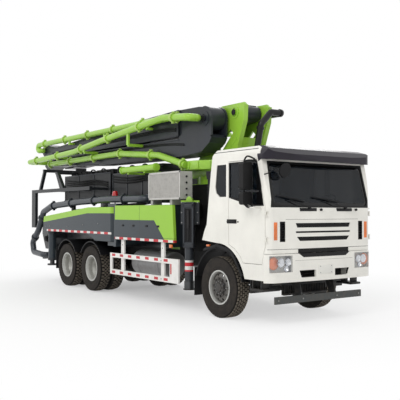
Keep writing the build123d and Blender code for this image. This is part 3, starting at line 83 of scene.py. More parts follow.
# ---------------------------------------------------------------- camera
# Solved from the photograph: place, direction, focal length for a sensor 36 mm wide
CAMERA_AT = Vector((13.527, -8.372, 1.864))
YAW = math.radians(144.807)
PITCH = math.radians(1.029)
LENS = 61.07
camera_data = bpy.data.cameras.new("camera")
camera_data.lens = LENS
camera_data.sensor_width = 36
camera_data.clip_end = 200
camera = bpy.data.objects.new("camera", camera_data)
bpy.context.scene.collection.objects.link(camera)
forward = Vector((math.cos(YAW) * math.cos(PITCH), math.sin(YAW) * math.cos(PITCH), math.sin(PITCH)))
camera.location = CAMERA_AT
camera.rotation_euler = forward.to_track_quat("-Z", "Y").to_euler()
bpy.context.scene.camera = camera
bpy.context.scene.view_settings.view_transform = "Standard"


# ---------------------------------------------------------------- shader maths
class Value:
    """A socket of a node tree, with arithmetic that adds Math nodes."""

    def __init__(self, tree, socket):
        self.tree = tree
        self.socket = socket

    def _math(self, operation, *values):
        return self.tree.node("ShaderNodeMath", {"operation": operation}, values)

    def __add__(self, other):
        return self._math("ADD", self, other)

    def __radd__(self, other):
        return self._math("ADD", other, self)

    def __sub__(self, other):
        return self._math("SUBTRACT", self, other)

    def __rsub__(self, other):
        return self._math("SUBTRACT", other, self)

    def __mul__(self, other):
        return self._math("MULTIPLY", self, other)

    def __pow__(self, other):
        return self._math("POWER", self, other)

    def __gt__(self, other):
        return self._math("GREATER_THAN", self, other)

    def __lt__(self, other):
        return self._math("LESS_THAN", self, other)

    def __abs__(self):
        return self._math("ABSOLUTE", self)

    def __mod__(self, other):
        return self._math("FLOORED_MODULO", self, other)

    def either(self, other):
        """The greater of two values."""
        return self._math("MAXIMUM", self, other)

    def clamp(self):
        """The value held between 0 and 1."""
        return self.tree.node("ShaderNodeClamp", {}, {"Value": self})

    def beside(self, name):
        """Another output of the node that this socket belongs to."""
        return Value(self.tree, self.socket.node.outputs[name])


class Nodes:
    """A node tree that is filled by one method."""

    def __init__(self, tree):
        self.tree = tree
        tree.nodes.clear()

    def node(self, kind, settings, values, output=0):
        """Adds a node: its settings first, then the values or links of its sockets."""
        made = self.tree.nodes.new(kind)
        for key, value in settings.items():
            setattr(made, key, value)
        for key, value in values.items() if isinstance(values, dict) else enumerate(values):
            self.feed(made.inputs[key], value)
        return Value(self, made.outputs[output] if len(made.outputs) else None)

    def feed(self, socket, value):
        """Links or sets one socket."""
        if isinstance(value, Value):
            self.tree.links.new(value.socket, socket)
        elif isinstance(value, tuple) and socket.type == "RGBA" and len(value) == 3:
            socket.default_value = (*value, 1)
        else:
            socket.default_value = value

    def mix(self, factor, first, second):
        """A colour between two."""
        return self.node("ShaderNodeMix", {"data_type": "RGBA"}, {"Factor": factor, 6: first, 7: second}, 2)

    def span(self, value, low, high):
        """0 below low, 1 above high."""
        return self.node("ShaderNodeMapRange", {"clamp": True}, [value, low, high, 0.0, 1.0])

    def seen(self):
        """1 for what the camera, a mirror-like surface or glass sees directly."""
        camera_ray = self.node("ShaderNodeLightPath", {}, {}, "Is Camera Ray")
        return camera_ray.either(camera_ray.beside("Is Glossy Ray")).either(
            camera_ray.beside("Is Transmission Ray"))


class Material(Nodes):
    """A node material with one Principled shader, and the Object coordinates as x, y and z."""

    def __init__(self, name):
        self.material = bpy.data.materials.new(name)
        self.material.use_nodes = True
        super().__init__(self.material.node_tree)
        self.surface = self.node("ShaderNodeBsdfPrincipled", {}, {})
        self.shader = self.surface.socket.node
        self.node("ShaderNodeOutputMaterial", {}, {"Surface": self.surface})
        self.place = self.node("ShaderNodeTexCoord", {}, {}, "Object")
        self.x = self.node("ShaderNodeSeparateXYZ", {}, [self.place])
        self.y, self.z = self.x.beside("Y"), self.x.beside("Z")

    def set(self, **values):
        """Sets sockets of the Principled shader, by name with underscores for spaces."""
        for key, value in values.items():
            self.feed(self.shader.inputs[key.replace("_", " ")], value)
        return self

    def noise(self, scale, detail=3.0, roughness=0.55, stretch=None):
        """Noise from 0 to 1 at a place on the object."""
        place = self.place
        if stretch:
            place = self.node("ShaderNodeMapping", {}, {"Vector": place, "Scale": stretch})
        return self.node("ShaderNodeTexNoise", {}, {"Vector": place, "Scale": scale, "Detail": detail,
                                                    "Roughness": roughness})

    def from_axle(self, x):
        """Distance from the axle of a wheel."""
        return ((self.x - x) ** 2 + (self.z - TYRE_R) ** 2) ** 0.5

    def drift(self, noise, low, high, colour, dark, light):
        """A colour that drifts between a darker and a lighter tint in patches."""
        return self.mix(self.span(noise, low, high), tint(colour, dark), tint(colour, light))

    def between(self, axis, low, high):
        """1 where an axis lies between two values."""
        return (axis > low) * (axis < high)

    def bump(self, height, distance, strength):
        """Lets a height in 0 to 1 stand out of the surface by a distance."""
        self.set(Normal=self.node("ShaderNodeBump", {}, {"Height": height, "Distance": distance,
                                                         "Strength": strength}))


def srgb(red, green, blue):
    """A photo colour, 0 to 255, as linear light."""
    return tuple((c / 12.92 if c <= 0.04045 else ((c + 0.055) / 1.055) ** 2.4) for c in
                 (red / 255, green / 255, blue / 255))


def tint(colour, share):
    """A colour made lighter or darker."""
    return tuple(min(1.0, c * share) for c in colour)


WHITE = srgb(236, 234, 226)
GREEN = srgb(152, 200, 62)
SLATE = srgb(46, 55, 62)
CHARCOAL = srgb(38, 42, 49)
BLACK = srgb(14, 14, 15)
RUBBER = srgb(40, 37, 35)
RED = srgb(196, 38, 48)
ORANGE = srgb(226, 112, 34)
TAPE_WHITE = srgb(226, 224, 220)
DUST = srgb(100, 92, 82)


def paint(name, colour, roughness, layers=None, dirt=0.25, coat=0.4):
    """Sprayed paint: slight colour drift, orange peel, road dust low down, and coloured areas by place."""
    m = Material(name)
    base = m.drift(m.noise(1.7, 4), 0.3, 0.7, colour, 0.93, 1.05)
    matte = None
    for mask, shade in (layers(m) if layers else ()):
        base = m.mix(mask, base, shade)
        if shade == BLACK:
            matte = mask if matte is None else matte.either(mask)
    rough = m.noise(60, 2) * 0.08 + (roughness - 0.04)
    if matte is not None:
        coat = (1 - matte) * coat
        rough = rough + matte * 0.3
    streak = m.span(m.noise(5, 5, 0.6, (1.0, 1.0, 0.22)), 0.5, 0.8)
    low = 1 - m.span(m.z, 0.35, 1.15)
    dust = (m.span(m.noise(9, 6, 0.65), 0.42, 0.75) * (low * 0.8 + 0.1) * dirt + streak * 0.1 * dirt).clamp()
    base = m.mix(dust, base, DUST)
    m.set(Base_Color=base, Roughness=(dust * 0.4 + rough).clamp(), Coat_Weight=coat, Coat_Roughness=0.12,
          Specular_IOR_Level=0.3)
    m.bump(m.noise(240, 2), 0.0006, 0.6)
    return m.material


def metal(name, colour, roughness, shine=0.9):
    """Bare or ground metal with fine lines."""
    m = Material(name)
    lines = m.noise(900.0, 2, 0.5, (1.0, 1.0, 0.05))
    base = m.drift(m.noise(6, 4), 0.3, 0.75, colour, 0.9, 1.05)
    grime = m.span(m.noise(13, 6, 0.7), 0.5, 0.8) * 0.35
    m.set(Base_Color=m.mix(grime, base, DUST), Metallic=shine,
          Roughness=(lines * 0.15 + grime * 0.4 + (roughness - 0.07)).clamp())
    m.bump(lines, 0.0004, 0.5)
    return m.material


def plastic(name, colour, roughness, coat=0.0):
    """Moulded plastic with a fine grain."""
    m = Material(name)
    base = m.drift(m.noise(4, 5), 0.35, 0.7, colour, 0.85, 1.15)
    m.set(Base_Color=base, Roughness=(m.noise(120, 2) * 0.12 + (roughness - 0.06)).clamp(), Coat_Weight=coat,
          Specular_IOR_Level=0.25)
    m.bump(m.noise(420, 2), 0.0005, 0.5)
    return m.material


def glass(name, colour, alpha, layers):
    """Thin glass with a slight tint, made dark and mostly opaque as painted shade of the cab behind it, with a film
    of dust, and printed edges.
    """
    m = Material(name)
    film = m.span(m.noise(2.5, 5), 0.45, 0.8)
    base = m.mix(film * 0.03, colour, srgb(150, 150, 145))
    cover = (film * 0.06 + alpha).clamp()
    for mask, shade in layers(m):
        base = m.mix(mask, base, shade)
        cover = cover.either(mask)
    m.set(Base_Color=base, Roughness=(film * 0.06 + 0.03).clamp(), Alpha=cover, Coat_Weight=0.1,
          Coat_Roughness=0.02, Specular_IOR_Level=0.28)
    m.material.surface_render_method = "BLENDED"
    return m.material


def rubber(name, x, face, worn):
    """Tyre rubber: grooves darkened as painted shade, worn paler block faces, a dark ring painted as shade in the
    sidewall's crease, and road dust in patches.
    """
    m = Material(name)
    radius = m.from_axle(x)
    dust = m.span(m.noise(11, 7, 0.72), 0.4, 0.78)
    base = m.mix(dust * 0.4, RUBBER, srgb(84, 77, 69))
    # Groove floor and block sides darkened to near black: painted shade in the grooves.
    base = m.mix(m.span(radius, 0.513, BLOCK_ROOT), base, srgb(15, 14, 14))
    base = m.mix(m.span(radius, face - 0.0045, face - 0.0015), base, m.mix(dust, tint(worn, 0.6), worn))
    # A dark ring in the sidewall's crease: painted shade.
    ring = m.span(radius, 0.355, 0.3565) * (1 - m.span(radius, 0.3605, 0.362))
    base = m.mix(ring * 0.6, base, BLACK)
    m.set(Base_Color=base, Roughness=(dust * 0.15 + 0.78).clamp(), Specular_IOR_Level=0.2)
    m.bump(m.noise(160, 4), 0.002, 0.7)
    return m.material


# ---------------------------------------------------------------- coloured areas of the CAD pieces
# Length of a pair of red and white dashes
DASH_PERIOD = 0.36


def dashes(axis, period, share):
    """1 on a share of each period along an axis."""
    return (axis % period) < (period * share)


def tape(mask, m):
    """Red and white reflective tape on a band."""
    return [(mask, TAPE_WHITE), (mask * dashes(m.x, DASH_PERIOD, 0.52), RED)]


def locker_layers(m):
    """Green stripe above with a wedge at the front end, door seams, a darker green top lip as painted shade, and
    tape along the lower edge.
    """
    side = abs(m.y) > 1.19
    top_line = 1.7
    wedge = (m.x - fx(-2.11)) * (-0.38 / 0.39) + top_line
    green = (m.z > top_line).either((m.z > wedge) * (m.x > fx(-2.11))) * side
    seams = (m.between(m.x, fx(-2.7), fx(-2.692)).either(m.between(m.z, 1.345, 1.351))) * side
    # The darker copy of the green along the top lip is painted shade.
    lip = (m.z > 2.0) * side
    return [(green, GREEN), (seams, srgb(34, 36, 38)), (lip, tint(GREEN, 0.7))] + tape(
        m.between(m.z, 1.272, 1.322) * side, m)


def arm_layers(m):
    """Sloped green band along the top edge, and tape below."""
    side = abs(m.y) > 1.235
    line = (m.x - fx(-7.85)) * (0.24 / 2.69) + 1.6
    rear = (m.z > line) * (m.x < fx(-5.16))
    front = (m.z > 1.84) * (m.x > fx(-5.17))
    return [((rear * side).either(front), GREEN)] + tape(m.between(m.z, 1.365, 1.415) * side * (m.x > fx(-7.62)), m)


def guard_layers(m):
    """Red dashes along the rails and up the end panel."""
    rails = m.between(m.z, 0.89, 0.945).either(m.between(m.z, 0.515, 0.57)) * (m.x < fx(-1.45))
    posts = m.between(m.x, fx(-1.53), fx(-1.48)) * m.between(m.z, 0.66, 0.86)
    return [(rails * dashes(m.x, DASH_PERIOD, 0.42), RED), (posts, RED)]


def cab_inside(m):
    """1 on the inner faces of the cab and doors."""
    front = (m.x < (1.3 + AXLE_1)) * ((m.x + (m.z - 1.95) * 0.24) < (1.305 + AXLE_1))
    rear = (m.x - (m.z - 1.4) * 0.095) > fx(-0.3)
    return front * rear * (abs(m.y) < 1.19) * (m.z < 2.92) * (m.z > 1.21)


def screen_edge(m, grow):
    """1 inside the windscreen opening's outline, grown by a border."""
    half = 1.12 - (m.z - 1.975) * (0.03 / 0.695) + grow
    return (abs(m.y) < half) * m.between(m.z, 1.975 - grow, 2.67 + grow) * (m.x > fx(1.14))


# Front slots: lower and upper edge, half width
SLOT_BANDS = ((1.608, 1.686, 0.652), (1.518, 1.552, 0.652), (1.386, 1.46, 0.627))


def cab_layers(m):
    """Dark inner trim, black windscreen border, painted shade on the recessed faces of the grille slots, vents and
    intake, and seam lines.
    """
    front = m.x > fx(1.3)
    behind_skin = m.x < fx(1.392)
    seam = m.between(m.z, 1.255, 1.263) * front
    rows = [(seam, srgb(60, 58, 55)), (cab_inside(m), srgb(52, 52, 54)), (screen_edge(m, 0.034), BLACK)]
    # Black in the slots lies on their recessed faces behind the skin: painted shade.
    for low, high, half in SLOT_BANDS:
        back = m.x < (fx(1.382) - abs(m.y) * abs(m.y) * 0.035)
        rows.append((m.between(m.z, low, high) * (abs(m.y) < half) * front * back, BLACK))
    # Black in the side vents and the intake lies on recessed faces and is painted shade.
    vents = m.between(m.z, 1.378, 1.712) * m.between(abs(m.y), 0.862, 0.983) * front * (m.x < fx(1.357))
    intake = m.between(m.z, 1.17, 1.259) * (abs(m.y) < 0.599) * front * behind_skin
    hood = m.between(m.z, 1.742, 1.748) * (abs(m.y) < 0.86) * front
    return rows + [(vents, BLACK), (intake, BLACK), (hood, srgb(120, 118, 112))]


def door_layers(m):
    """Black window seal and mirrors, dark inner trim."""
    mirror = (abs(m.y) > 1.2262) * (m.z > 1.95)
    front_edge = m.x < (fx(1.105) + (2.69 - m.z) * (0.14 / 0.705))
    sill = m.z > (1.975 + (fx(0.9) - m.x) * 0.236).either(1.965)
    seal = front_edge * sill * m.between(m.z, 1.9, 2.715) * (m.x > fx(0.325))
    return [(cab_inside(m), srgb(58, 58, 60)), (seal, BLACK), (mirror, BLACK)]


def front_layers(m):
    """Dark grille inserts, and painted shade on the inside of the bumper, its pockets and a crease line."""
    grille = (m.z > 1.12) * (abs(m.y) < (m.z - 1.12) * 1.6 + 0.5)
    # The inside of the bumper and its pockets are painted black as shade.
    inside = (m.z < 1.18) * (m.x + abs(m.y) * abs(m.y) * 0.03 < fx(1.38)) * (abs(m.y) < 0.7)
    pocket = (m.z < 0.985) * (m.z > 0.8) * m.between(abs(m.y), 0.24, 0.66) * (
        m.x + abs(m.y) * abs(m.y) * 0.03 < fx(1.402))
    # A darker line along the crease is painted shade.
    crease = m.between(m.z, 1.068, 1.073) * (abs(m.y) < 0.68)
    return [(grille, BLACK), (inside.either(pocket), BLACK), (crease, srgb(150, 148, 142))]


def deck_pipe_layers(m):
    """Green on the upper end."""
    return [(m.z > 2.69, GREEN)]


def leg_layers(m):
    """Safety bands on the jack tube."""
    bands = m.between(m.z, 0.74, 0.95)
    red = dashes(m.z, 0.14, 0.5)
    return [(bands, TAPE_WHITE), (bands * red, RED), (m.z > 2.052, GREEN)]


def lamp_lens():
    """Clear head lens over the reflectors; the tail lamps and the beacon are red all through."""
    m = Material("lamp_lens")
    head = m.x > fx(1.0)
    tail = m.x < fx(-8.0)
    beacon = m.between(m.x, fx(-5.0), fx(-4.0))
    base = m.mix(m.span(m.noise(3, 4), 0.3, 0.7), srgb(205, 208, 210), srgb(222, 224, 226))
    for mask, shade in ((tail, srgb(170, 20, 24)), (beacon, srgb(50, 50, 52)),
                        (beacon * (m.z > 2.215), srgb(205, 20, 28))):
        base = m.mix(mask, base, shade)
    flutes = m.noise(40, 2, 0.4, (1.0, 1.0, 0.1))
    m.set(Base_Color=base, Roughness=(flutes * 0.06 + 0.05).clamp(), Alpha=(1 - head * 0.78).clamp(),
          Coat_Weight=1.0, Coat_Roughness=0.03)
    m.bump(flutes, 0.0008, 0.4)
    m.material.surface_render_method = "BLENDED"
    return m.material


def window_border(m):
    """Black printed edge round the windscreen."""
    front = m.x > fx(1.05)
    inner = (abs(m.y) < (1.075 - (m.z - 1.975) * 0.043)) * m.between(m.z, 2.022, 2.632)
    return [(front * (1 - inner), BLACK)]


def wheel_paint(name, x, bright, hub):
    """Silver rim, darker towards the hub, with brake dust and rusty streaks."""
    m = Material(name)
    radius = m.from_axle(x)
    dust = m.span(m.noise(9, 6, 0.7), 0.38, 0.75)
    base = m.mix(m.span(radius, 0.16, 0.24), hub, bright)
    base = m.mix(dust * 0.5, base, srgb(108, 100, 92))
    base = m.mix(m.span(radius, 0.262, 0.272), base, srgb(192, 192, 188))
    m.set(Base_Color=base, Metallic=0.35, Roughness=(dust * 0.25 + 0.38).clamp(), Coat_Weight=0.1)
    m.bump(m.noise(180, 3), 0.0006, 0.5)
    return m.material


# The windows' dark colour and 0.72 cover are painted shade of the cab inside.
GLASS = glass("window_glass", srgb(14, 21, 28), 0.72, window_border)
GREEN_PAINT = paint("machine_green", GREEN, 0.36, dirt=0.2, coat=0.5)
SLATE_PAINT = paint("slate_fittings", srgb(48, 52, 57), 0.4, coat=0.2)
CHARCOAL_PAINT = paint("charcoal_fittings", CHARCOAL, 0.4, coat=0.15)
WHITE_PAINT = paint("white_fittings", srgb(228, 227, 220), 0.35, dirt=0.1)
BLACK_PLASTIC = plastic("black_fittings", srgb(16, 16, 18), 0.5)
HOSE_RUBBER = plastic("hose_black", srgb(16, 16, 17), 0.6)
CHROME = metal("reflector_bright", srgb(222, 224, 228), 0.16)
STEEL = metal("bolt_steel", srgb(150, 150, 148), 0.36)
CLAMP_PAINT = paint("clamp_green", srgb(172, 204, 100), 0.4, dirt=0.5)
AMBER = plastic("amber_lens", ORANGE, 0.22, 1.0)
TREADS = {"front": rubber("front_rubber", AXLE_1, 0.536, srgb(128, 120, 108)),
          "mid": rubber("mid_rubber", AXLE_2, 0.531, srgb(112, 104, 94)),
          "rear": rubber("rear_rubber", AXLE_3, 0.531, srgb(112, 104, 94))}
DARK_STEEL = paint("dark_steel", srgb(28, 29, 31), 0.5, dirt=0.5, coat=0.1)

LOOKS = {
    "chassis_frame": paint("chassis_black", srgb(26, 27, 29), 0.5, dirt=0.6, coat=0.1,
                           layers=lambda m: [(m.x > fx(1.25), srgb(68, 71, 71))]),
    "axles": paint("axle_black", BLACK, 0.6, dirt=0.9, coat=0.0),
    "engine": paint("engine_grey", srgb(30, 31, 33), 0.6, dirt=0.9, coat=0.0),
    "cab_shell": paint("cab_white", WHITE, 0.26, cab_layers, dirt=0.1, coat=0.7),
    "sun_visor": plastic("visor_dark", srgb(30, 26, 37), 0.3, 0.08),
    "bumper_and_grille": paint("bumper_white", WHITE, 0.28, front_layers, dirt=0.12, coat=0.6),
    "lamps": lamp_lens(),
    "cab_interior": plastic("interior_grey", srgb(38, 40, 44), 0.6),
    "snorkel": plastic("trim_black", srgb(18, 18, 20), 0.5),
    "mudguards": plastic("mudguard_black", srgb(20, 20, 22), 0.5),
    "tanks": metal("tank_aluminium", srgb(150, 150, 150), 0.45, shine=0.5),
    "side_lockers": paint("locker_slate", SLATE, 0.4, locker_layers, dirt=0.2, coat=0.25),
    "side_guards": paint("guard_white", srgb(238, 236, 232), 0.4, guard_layers),
    "pedestal": paint("pedestal_green", GREEN, 0.38, layers=lambda m: [
        # Black on the pedestal's front part, low and beside the cab, is painted shade.
        ((m.z < 2.42) * (abs(m.y) < 0.93) * (m.x > fx(-2.3)), BLACK),
        ((m.x < fx(-2.7)) * (m.z < 1.36), srgb(50, 52, 56)),
        ((m.x < fx(-3.7)) * (abs(m.y) > 0.95), SLATE)], dirt=0.3),
    "oil_cooler": metal("cooler_aluminium", srgb(196, 194, 190), 0.45, shine=0.25),
    "deck_tanks": paint("deck_charcoal", srgb(26, 28, 31), 0.45, dirt=0.3, coat=0.1),
    "boom_rest": paint("frame_charcoal", srgb(30, 33, 37), 0.4, dirt=0.3, coat=0.2),
    "deck_pipe": paint("deck_pipe_dark", srgb(50, 56, 64), 0.42, deck_pipe_layers, dirt=0.3),
    "hopper": paint("hopper_charcoal", srgb(44, 47, 52), 0.45, dirt=0.5),
    "hopper_grate": paint("grate_charcoal", srgb(44, 47, 52), 0.5, dirt=0.8),
    "turret": paint("turret_green", GREEN, 0.34, dirt=0.15, coat=0.5),
    "turret_pipe": paint("riser_black", srgb(18, 18, 20), 0.4, coat=0.1, dirt=0.1),
    "lift_cylinder": paint("cylinder_dark", srgb(34, 36, 40), 0.35, layers=lambda m: [
        (m.x < fx(-2.21), srgb(160, 160, 160))]),
    "pipe_1": GREEN_PAINT, "pipes_2": GREEN_PAINT, "pipe_3": GREEN_PAINT,
    "cab_glass": GLASS,
}
for section in ("boom_1", "boom_2", "boom_3"):
    LOOKS[section] = paint(f"{section}_charcoal", CHARCOAL, 0.36, coat=0.15, dirt=0.4)
for section in ("boom_4", "boom_5"):
    LOOKS[section] = paint(f"{section}_charcoal", CHARCOAL, 0.36, coat=0.15, layers=lambda m: [(m.y > 0.87, GREEN)])
for side, hand in HANDS:
    LOOKS[f"knuckle_{side}"] = LOOKS["axles"]
    LOOKS[f"door_{side}"] = paint(f"door_white_{side}", WHITE, 0.26, door_layers, dirt=0.1, coat=0.7)
    LOOKS[f"door_glass_{side}"] = GLASS
    LOOKS[f"front_leg_{side}"] = paint(f"leg_slate_{side}", srgb(48, 52, 57), 0.4, leg_layers, coat=0.2)
    LOOKS[f"front_jack_{side}"] = metal(f"jack_steel_{side}", srgb(84, 86, 88), 0.4)
    LOOKS[f"rear_arm_{side}"] = paint(f"arm_slate_{side}", SLATE, 0.4, arm_layers, coat=0.25)
    LOOKS[f"rear_jack_{side}"] = paint(f"foot_dark_{side}", srgb(56, 58, 62), 0.45, dirt=0.5)
    LOOKS[f"front_tyre_{side}"] = TREADS["front"]
    LOOKS[f"front_wheel_{side}"] = wheel_paint(f"front_rim_{side}", AXLE_1, srgb(118, 116, 112), srgb(48, 48, 48))
    for row, x in ROWS:
        LOOKS[f"{row}_tyres_{side}"] = TREADS[row]
        LOOKS[f"{row}_wheels_{side}"] = wheel_paint(f"{row}_rim_{side}", x, srgb(196, 196, 190), srgb(150, 148, 142))
for name, node in NODES.items():
    node.data.materials.clear()
    node.data.materials.append(LOOKS[name])


# ---------------------------------------------------------------- shaping new pieces
# Edges sharper than this stay sharp in the shading
SHARP_ANGLE = math.radians(34)


def at(x, y, z):
    """A point given by its distance ahead of the front axle."""
    return (fx(x), y, z)


def placed(x, y, z, angle, axis="Z"):
    """A frame at a point, turned about an axis."""
    return Matrix.Translation(at(x, y, z)) @ Matrix.Rotation(angle, 4, axis)


def even(first, step, count):
    """Values at an even step."""
    return [first + number * step for number in range(count)]


def ring(count, radius, shift=0.0):
    """Places evenly round a circle, measured from its middle."""
    return [(radius * math.cos(angle), radius * math.sin(angle))
            for angle in (math.tau * (step + shift) / count for step in range(count))]


class Form:
    """One piece being shaped with bmesh operators. Rows are given for the left, and hand -1 mirrors them."""

    def __init__(self, hand=1):
        self.work = bmesh.new()
        self.hand = hand

    def round_off(self, verts, bevel):
        """Rounds every edge of a fresh block."""
        if bevel:
            edges = list({edge for vert in verts for edge in vert.link_edges})
            bmesh.ops.bevel(self.work, geom=edges, offset=bevel, offset_type="OFFSET", segments=2,
                            profile=0.5, affect="EDGES", clamp_overlap=True, material=-1)

    def box(self, low, high, bevel=0.0, frame=Matrix()):
        """A block between two corners, turned and moved by a frame."""
        size = Vector(high) - Vector(low)
        middle = (Vector(high) + Vector(low)) / 2
        made = bmesh.ops.create_cube(self.work, size=1.0,
                                     matrix=frame @ Matrix.Translation(middle) @ Matrix.Diagonal((*size, 1.0)))
        self.round_off(made["verts"], bevel)
        return self

    def boxes(self, *rows):
        """Blocks: X ahead of the front axle, Y and Z of one corner, the same of the other, bevel."""
        for x_1, y_1, z_1, x_2, y_2, z_2, bevel in rows:
            self.box(at(x_1, self.hand * y_1, z_1), at(x_2, self.hand * y_2, z_2), bevel)
        return self

    def bar(self, start, end, radius, sides):
        """A round bar between two points."""
        start, end = Vector(start), Vector(end)
        turn = (end - start).to_track_quat("Z", "Y").to_matrix().to_4x4()
        bmesh.ops.create_cone(self.work, cap_ends=True, cap_tris=False, segments=sides, radius1=radius,
                              radius2=radius, depth=(end - start).length,
                              matrix=Matrix.Translation((start + end) / 2) @ turn)
        return self

    def bars(self, *rows):
        """Round bars: X ahead of the front axle, Y and Z of one end, the same of the other, radius, sides."""
        for x_1, y_1, z_1, x_2, y_2, z_2, radius, sides in rows:
            self.bar(at(x_1, self.hand * y_1, z_1), at(x_2, self.hand * y_2, z_2), radius, sides)
        return self

    def beam(self, start, end, width, height, bevel):
        """A square bar between two points, its height upwards."""
        start, end = Vector(start), Vector(end)
        along = (end - start).normalized()
        side = along.cross(Vector((0, 0, 1))).normalized() if abs(along.z) < 0.99 else Vector((0, 1, 0))
        frame = Matrix((along, side, side.cross(along))).transposed().to_4x4()
        half = (end - start).length / 2
        return self.box((-half, -width / 2, -height / 2), (half, width / 2, height / 2), bevel,
                        Matrix.Translation((start + end) / 2) @ frame)

    def turned(self, section, centre, axis, sides, closed=False):
        """A half section of (along the axis, radius) turned about the axis."""
        along = Vector(axis).normalized()
        out = along.orthogonal().normalized()
        centre = Vector(centre)
        before = set(self.work.verts)
        verts = [self.work.verts.new(centre + along * a + out * r) for a, r in section]
        edges = [self.work.edges.new(pair) for pair in zip(verts, verts[1:])]
        if closed:
            edges.append(self.work.edges.new((verts[-1], verts[0])))
        bmesh.ops.spin(self.work, geom=verts + edges, cent=centre, axis=along, dvec=(0, 0, 0), angle=math.tau,
                       steps=sides, use_merge=True, use_normal_flip=False, use_duplicate=False)
        fresh = [vert for vert in self.work.verts if vert not in before]
        bmesh.ops.remove_doubles(self.work, verts=fresh, dist=1e-6)
        return self

    def collar(self, centre, axis, low, high, inner, outer, sides=40):
        """A flat ring from low to high along an axis."""
        return self.turned([(low, inner), (high, inner), (high, outer), (low, outer)], centre, axis, sides, True)

    def plate(self, outline, across, low, high, bevel):
        """An outline in the plane across an axis (0 X, 1 Y, 2 Z), filled from low to high."""
        points = [self.work.verts.new((*pair[:across], low, *pair[across:])) for pair in outline]
        made = bmesh.ops.extrude_face_region(self.work, geom=[self.work.faces.new(points)])
        moved = [item for item in made["geom"] if isinstance(item, bmesh.types.BMVert)]
        step = [0.0, 0.0, 0.0]
        step[across] = high - low
        bmesh.ops.translate(self.work, verts=moved, vec=step)
        self.round_off(points + moved, bevel)
        return self

    def bolt(self, centre, axis, radius, height):
        """A six-sided bolt head on a surface, sunk by a third of its height."""
        centre, axis = Vector(centre), Vector(axis).normalized()
        return self.bar(centre - axis * height * 0.3, centre + axis * height, radius, 6)

    def side_bolts(self, radius, height, *places):
        """Bolt heads that point away from the truck's middle: X ahead of the front axle, Y, Z."""
        for x, y, z in places:
            self.bolt(at(x, self.hand * y, z), (0, self.hand, 0), radius, height)
        return self

    def done(self, name, look, body="chassis", slot=None):
        """Makes the object and lets it ride on its body."""
        bmesh.ops.recalc_face_normals(self.work, faces=self.work.faces)
        mesh = bpy.data.meshes.new(name)
        self.work.to_mesh(mesh)
        self.work.free()
        return finish_piece(name, mesh, look, body)


def finish_piece(name, mesh, look, body):
    """Shades a mesh, gives it its look, and lets it ride on its body."""
    mesh.shade_smooth()
    mesh.set_sharp_from_angle(angle=SHARP_ANGLE)
    mesh.materials.clear()
    mesh.materials.append(look)
    piece = bpy.data.objects.new(name, mesh)
    bpy.context.scene.collection.objects.link(piece)
    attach(piece, body)
    return piece


def lines(name, runs, radius, body="chassis", look=HOSE_RUBBER, hand=1):
    """Fixed round lines along smooth runs of points, as one mesh."""
    curve = bpy.data.curves.new(name + "_runs", "CURVE")
    curve.dimensions = "3D"
    curve.bevel_depth = radius
    curve.bevel_resolution = 3
    curve.resolution_u = 6
    curve.use_fill_caps = True
    for run in runs:
        spline = curve.splines.new("NURBS")
        spline.points.add(len(run) - 1)
        for point, (x, y, z) in zip(spline.points, run):
            point.co = (*at(x, hand * y, z), 1.0)
        spline.order_u = 3
        spline.use_endpoint_u = True
    holder = bpy.data.objects.new(name + "_holder", curve)
    mesh = bpy.data.meshes.new_from_object(holder)
    bpy.data.objects.remove(holder)
    finish_piece(name, mesh, look, body)


# ---------------------------------------------------------------- tyres with their tread, and hub bolts
# Outer wall of a tyre from the bead to the groove floor: radius, distance out from the middle plane
WALL = ((0.2905, 0.1155), (0.3062, 0.116), (0.312, 0.1275), (0.33, 0.1385), (0.352, 0.1445), (0.357, 0.1425),
        (0.392, 0.148), (0.432, 0.15), (0.47, 0.148), (0.497, 0.1425), (0.502, 0.144), (0.513, 0.14),
        (0.5262, 0.123))
# Rows of tread blocks: middle, width, radius of the face, share of a pitch by which the row is shifted, lean across,
# lean round. After them the blocks in a row, and the share of a pitch that a block fills
RIBS = ((-0.1, 0.04, 0.536, 0.0, 0.0, 0.1), (-0.05, 0.034, 0.5395, 0.5, 0.0, 0.1),
        (0.0, 0.034, 0.54, 0.0, 0.0, 0.1), (0.05, 0.034, 0.5395, 0.5, 0.0, 0.1),
        (0.1, 0.04, 0.536, 0.0, 0.0, 0.1)), 50, 0.74
LUGS = ((-0.093, 0.09, 0.531, 0.0, 0.2, 0.14), (-0.0215, 0.038, 0.5385, 0.5, 0.0, 0.3),
        (0.0215, 0.038, 0.5385, 0.0, 0.0, 0.3), (0.093, 0.09, 0.531, 0.5, -0.2, 0.14)), 40, 0.62


def tyre(form, x, y, tread):
    """One tyre: turned body with the groove floor, and rings of tread blocks."""
    section = [(out, radius) for radius, out in WALL] + [(-out, radius) for radius, out in reversed(WALL)]
    form.turned(section, (x, y, TYRE_R), (0, 1, 0), 72, closed=True)
    rows, count, fill = tread
    pitch = math.tau / count
    for middle, width, face, shift, across, lean in rows:
        half = Vector((pitch * face * fill, width, face - BLOCK_ROOT)) / 2
        for step in range(count):
            turn = (Matrix.Translation((x, y, TYRE_R)) @ Matrix.Rotation((step + shift) * pitch, 4, "Y")
                    @ Matrix.Translation((0, middle, (face + BLOCK_ROOT) / 2)) @ Matrix.Rotation(across, 4, "X")
                    @ Matrix.Rotation(lean if step % 2 else -lean, 4, "Z"))
            form.box(-half, half, 0.0, turn)


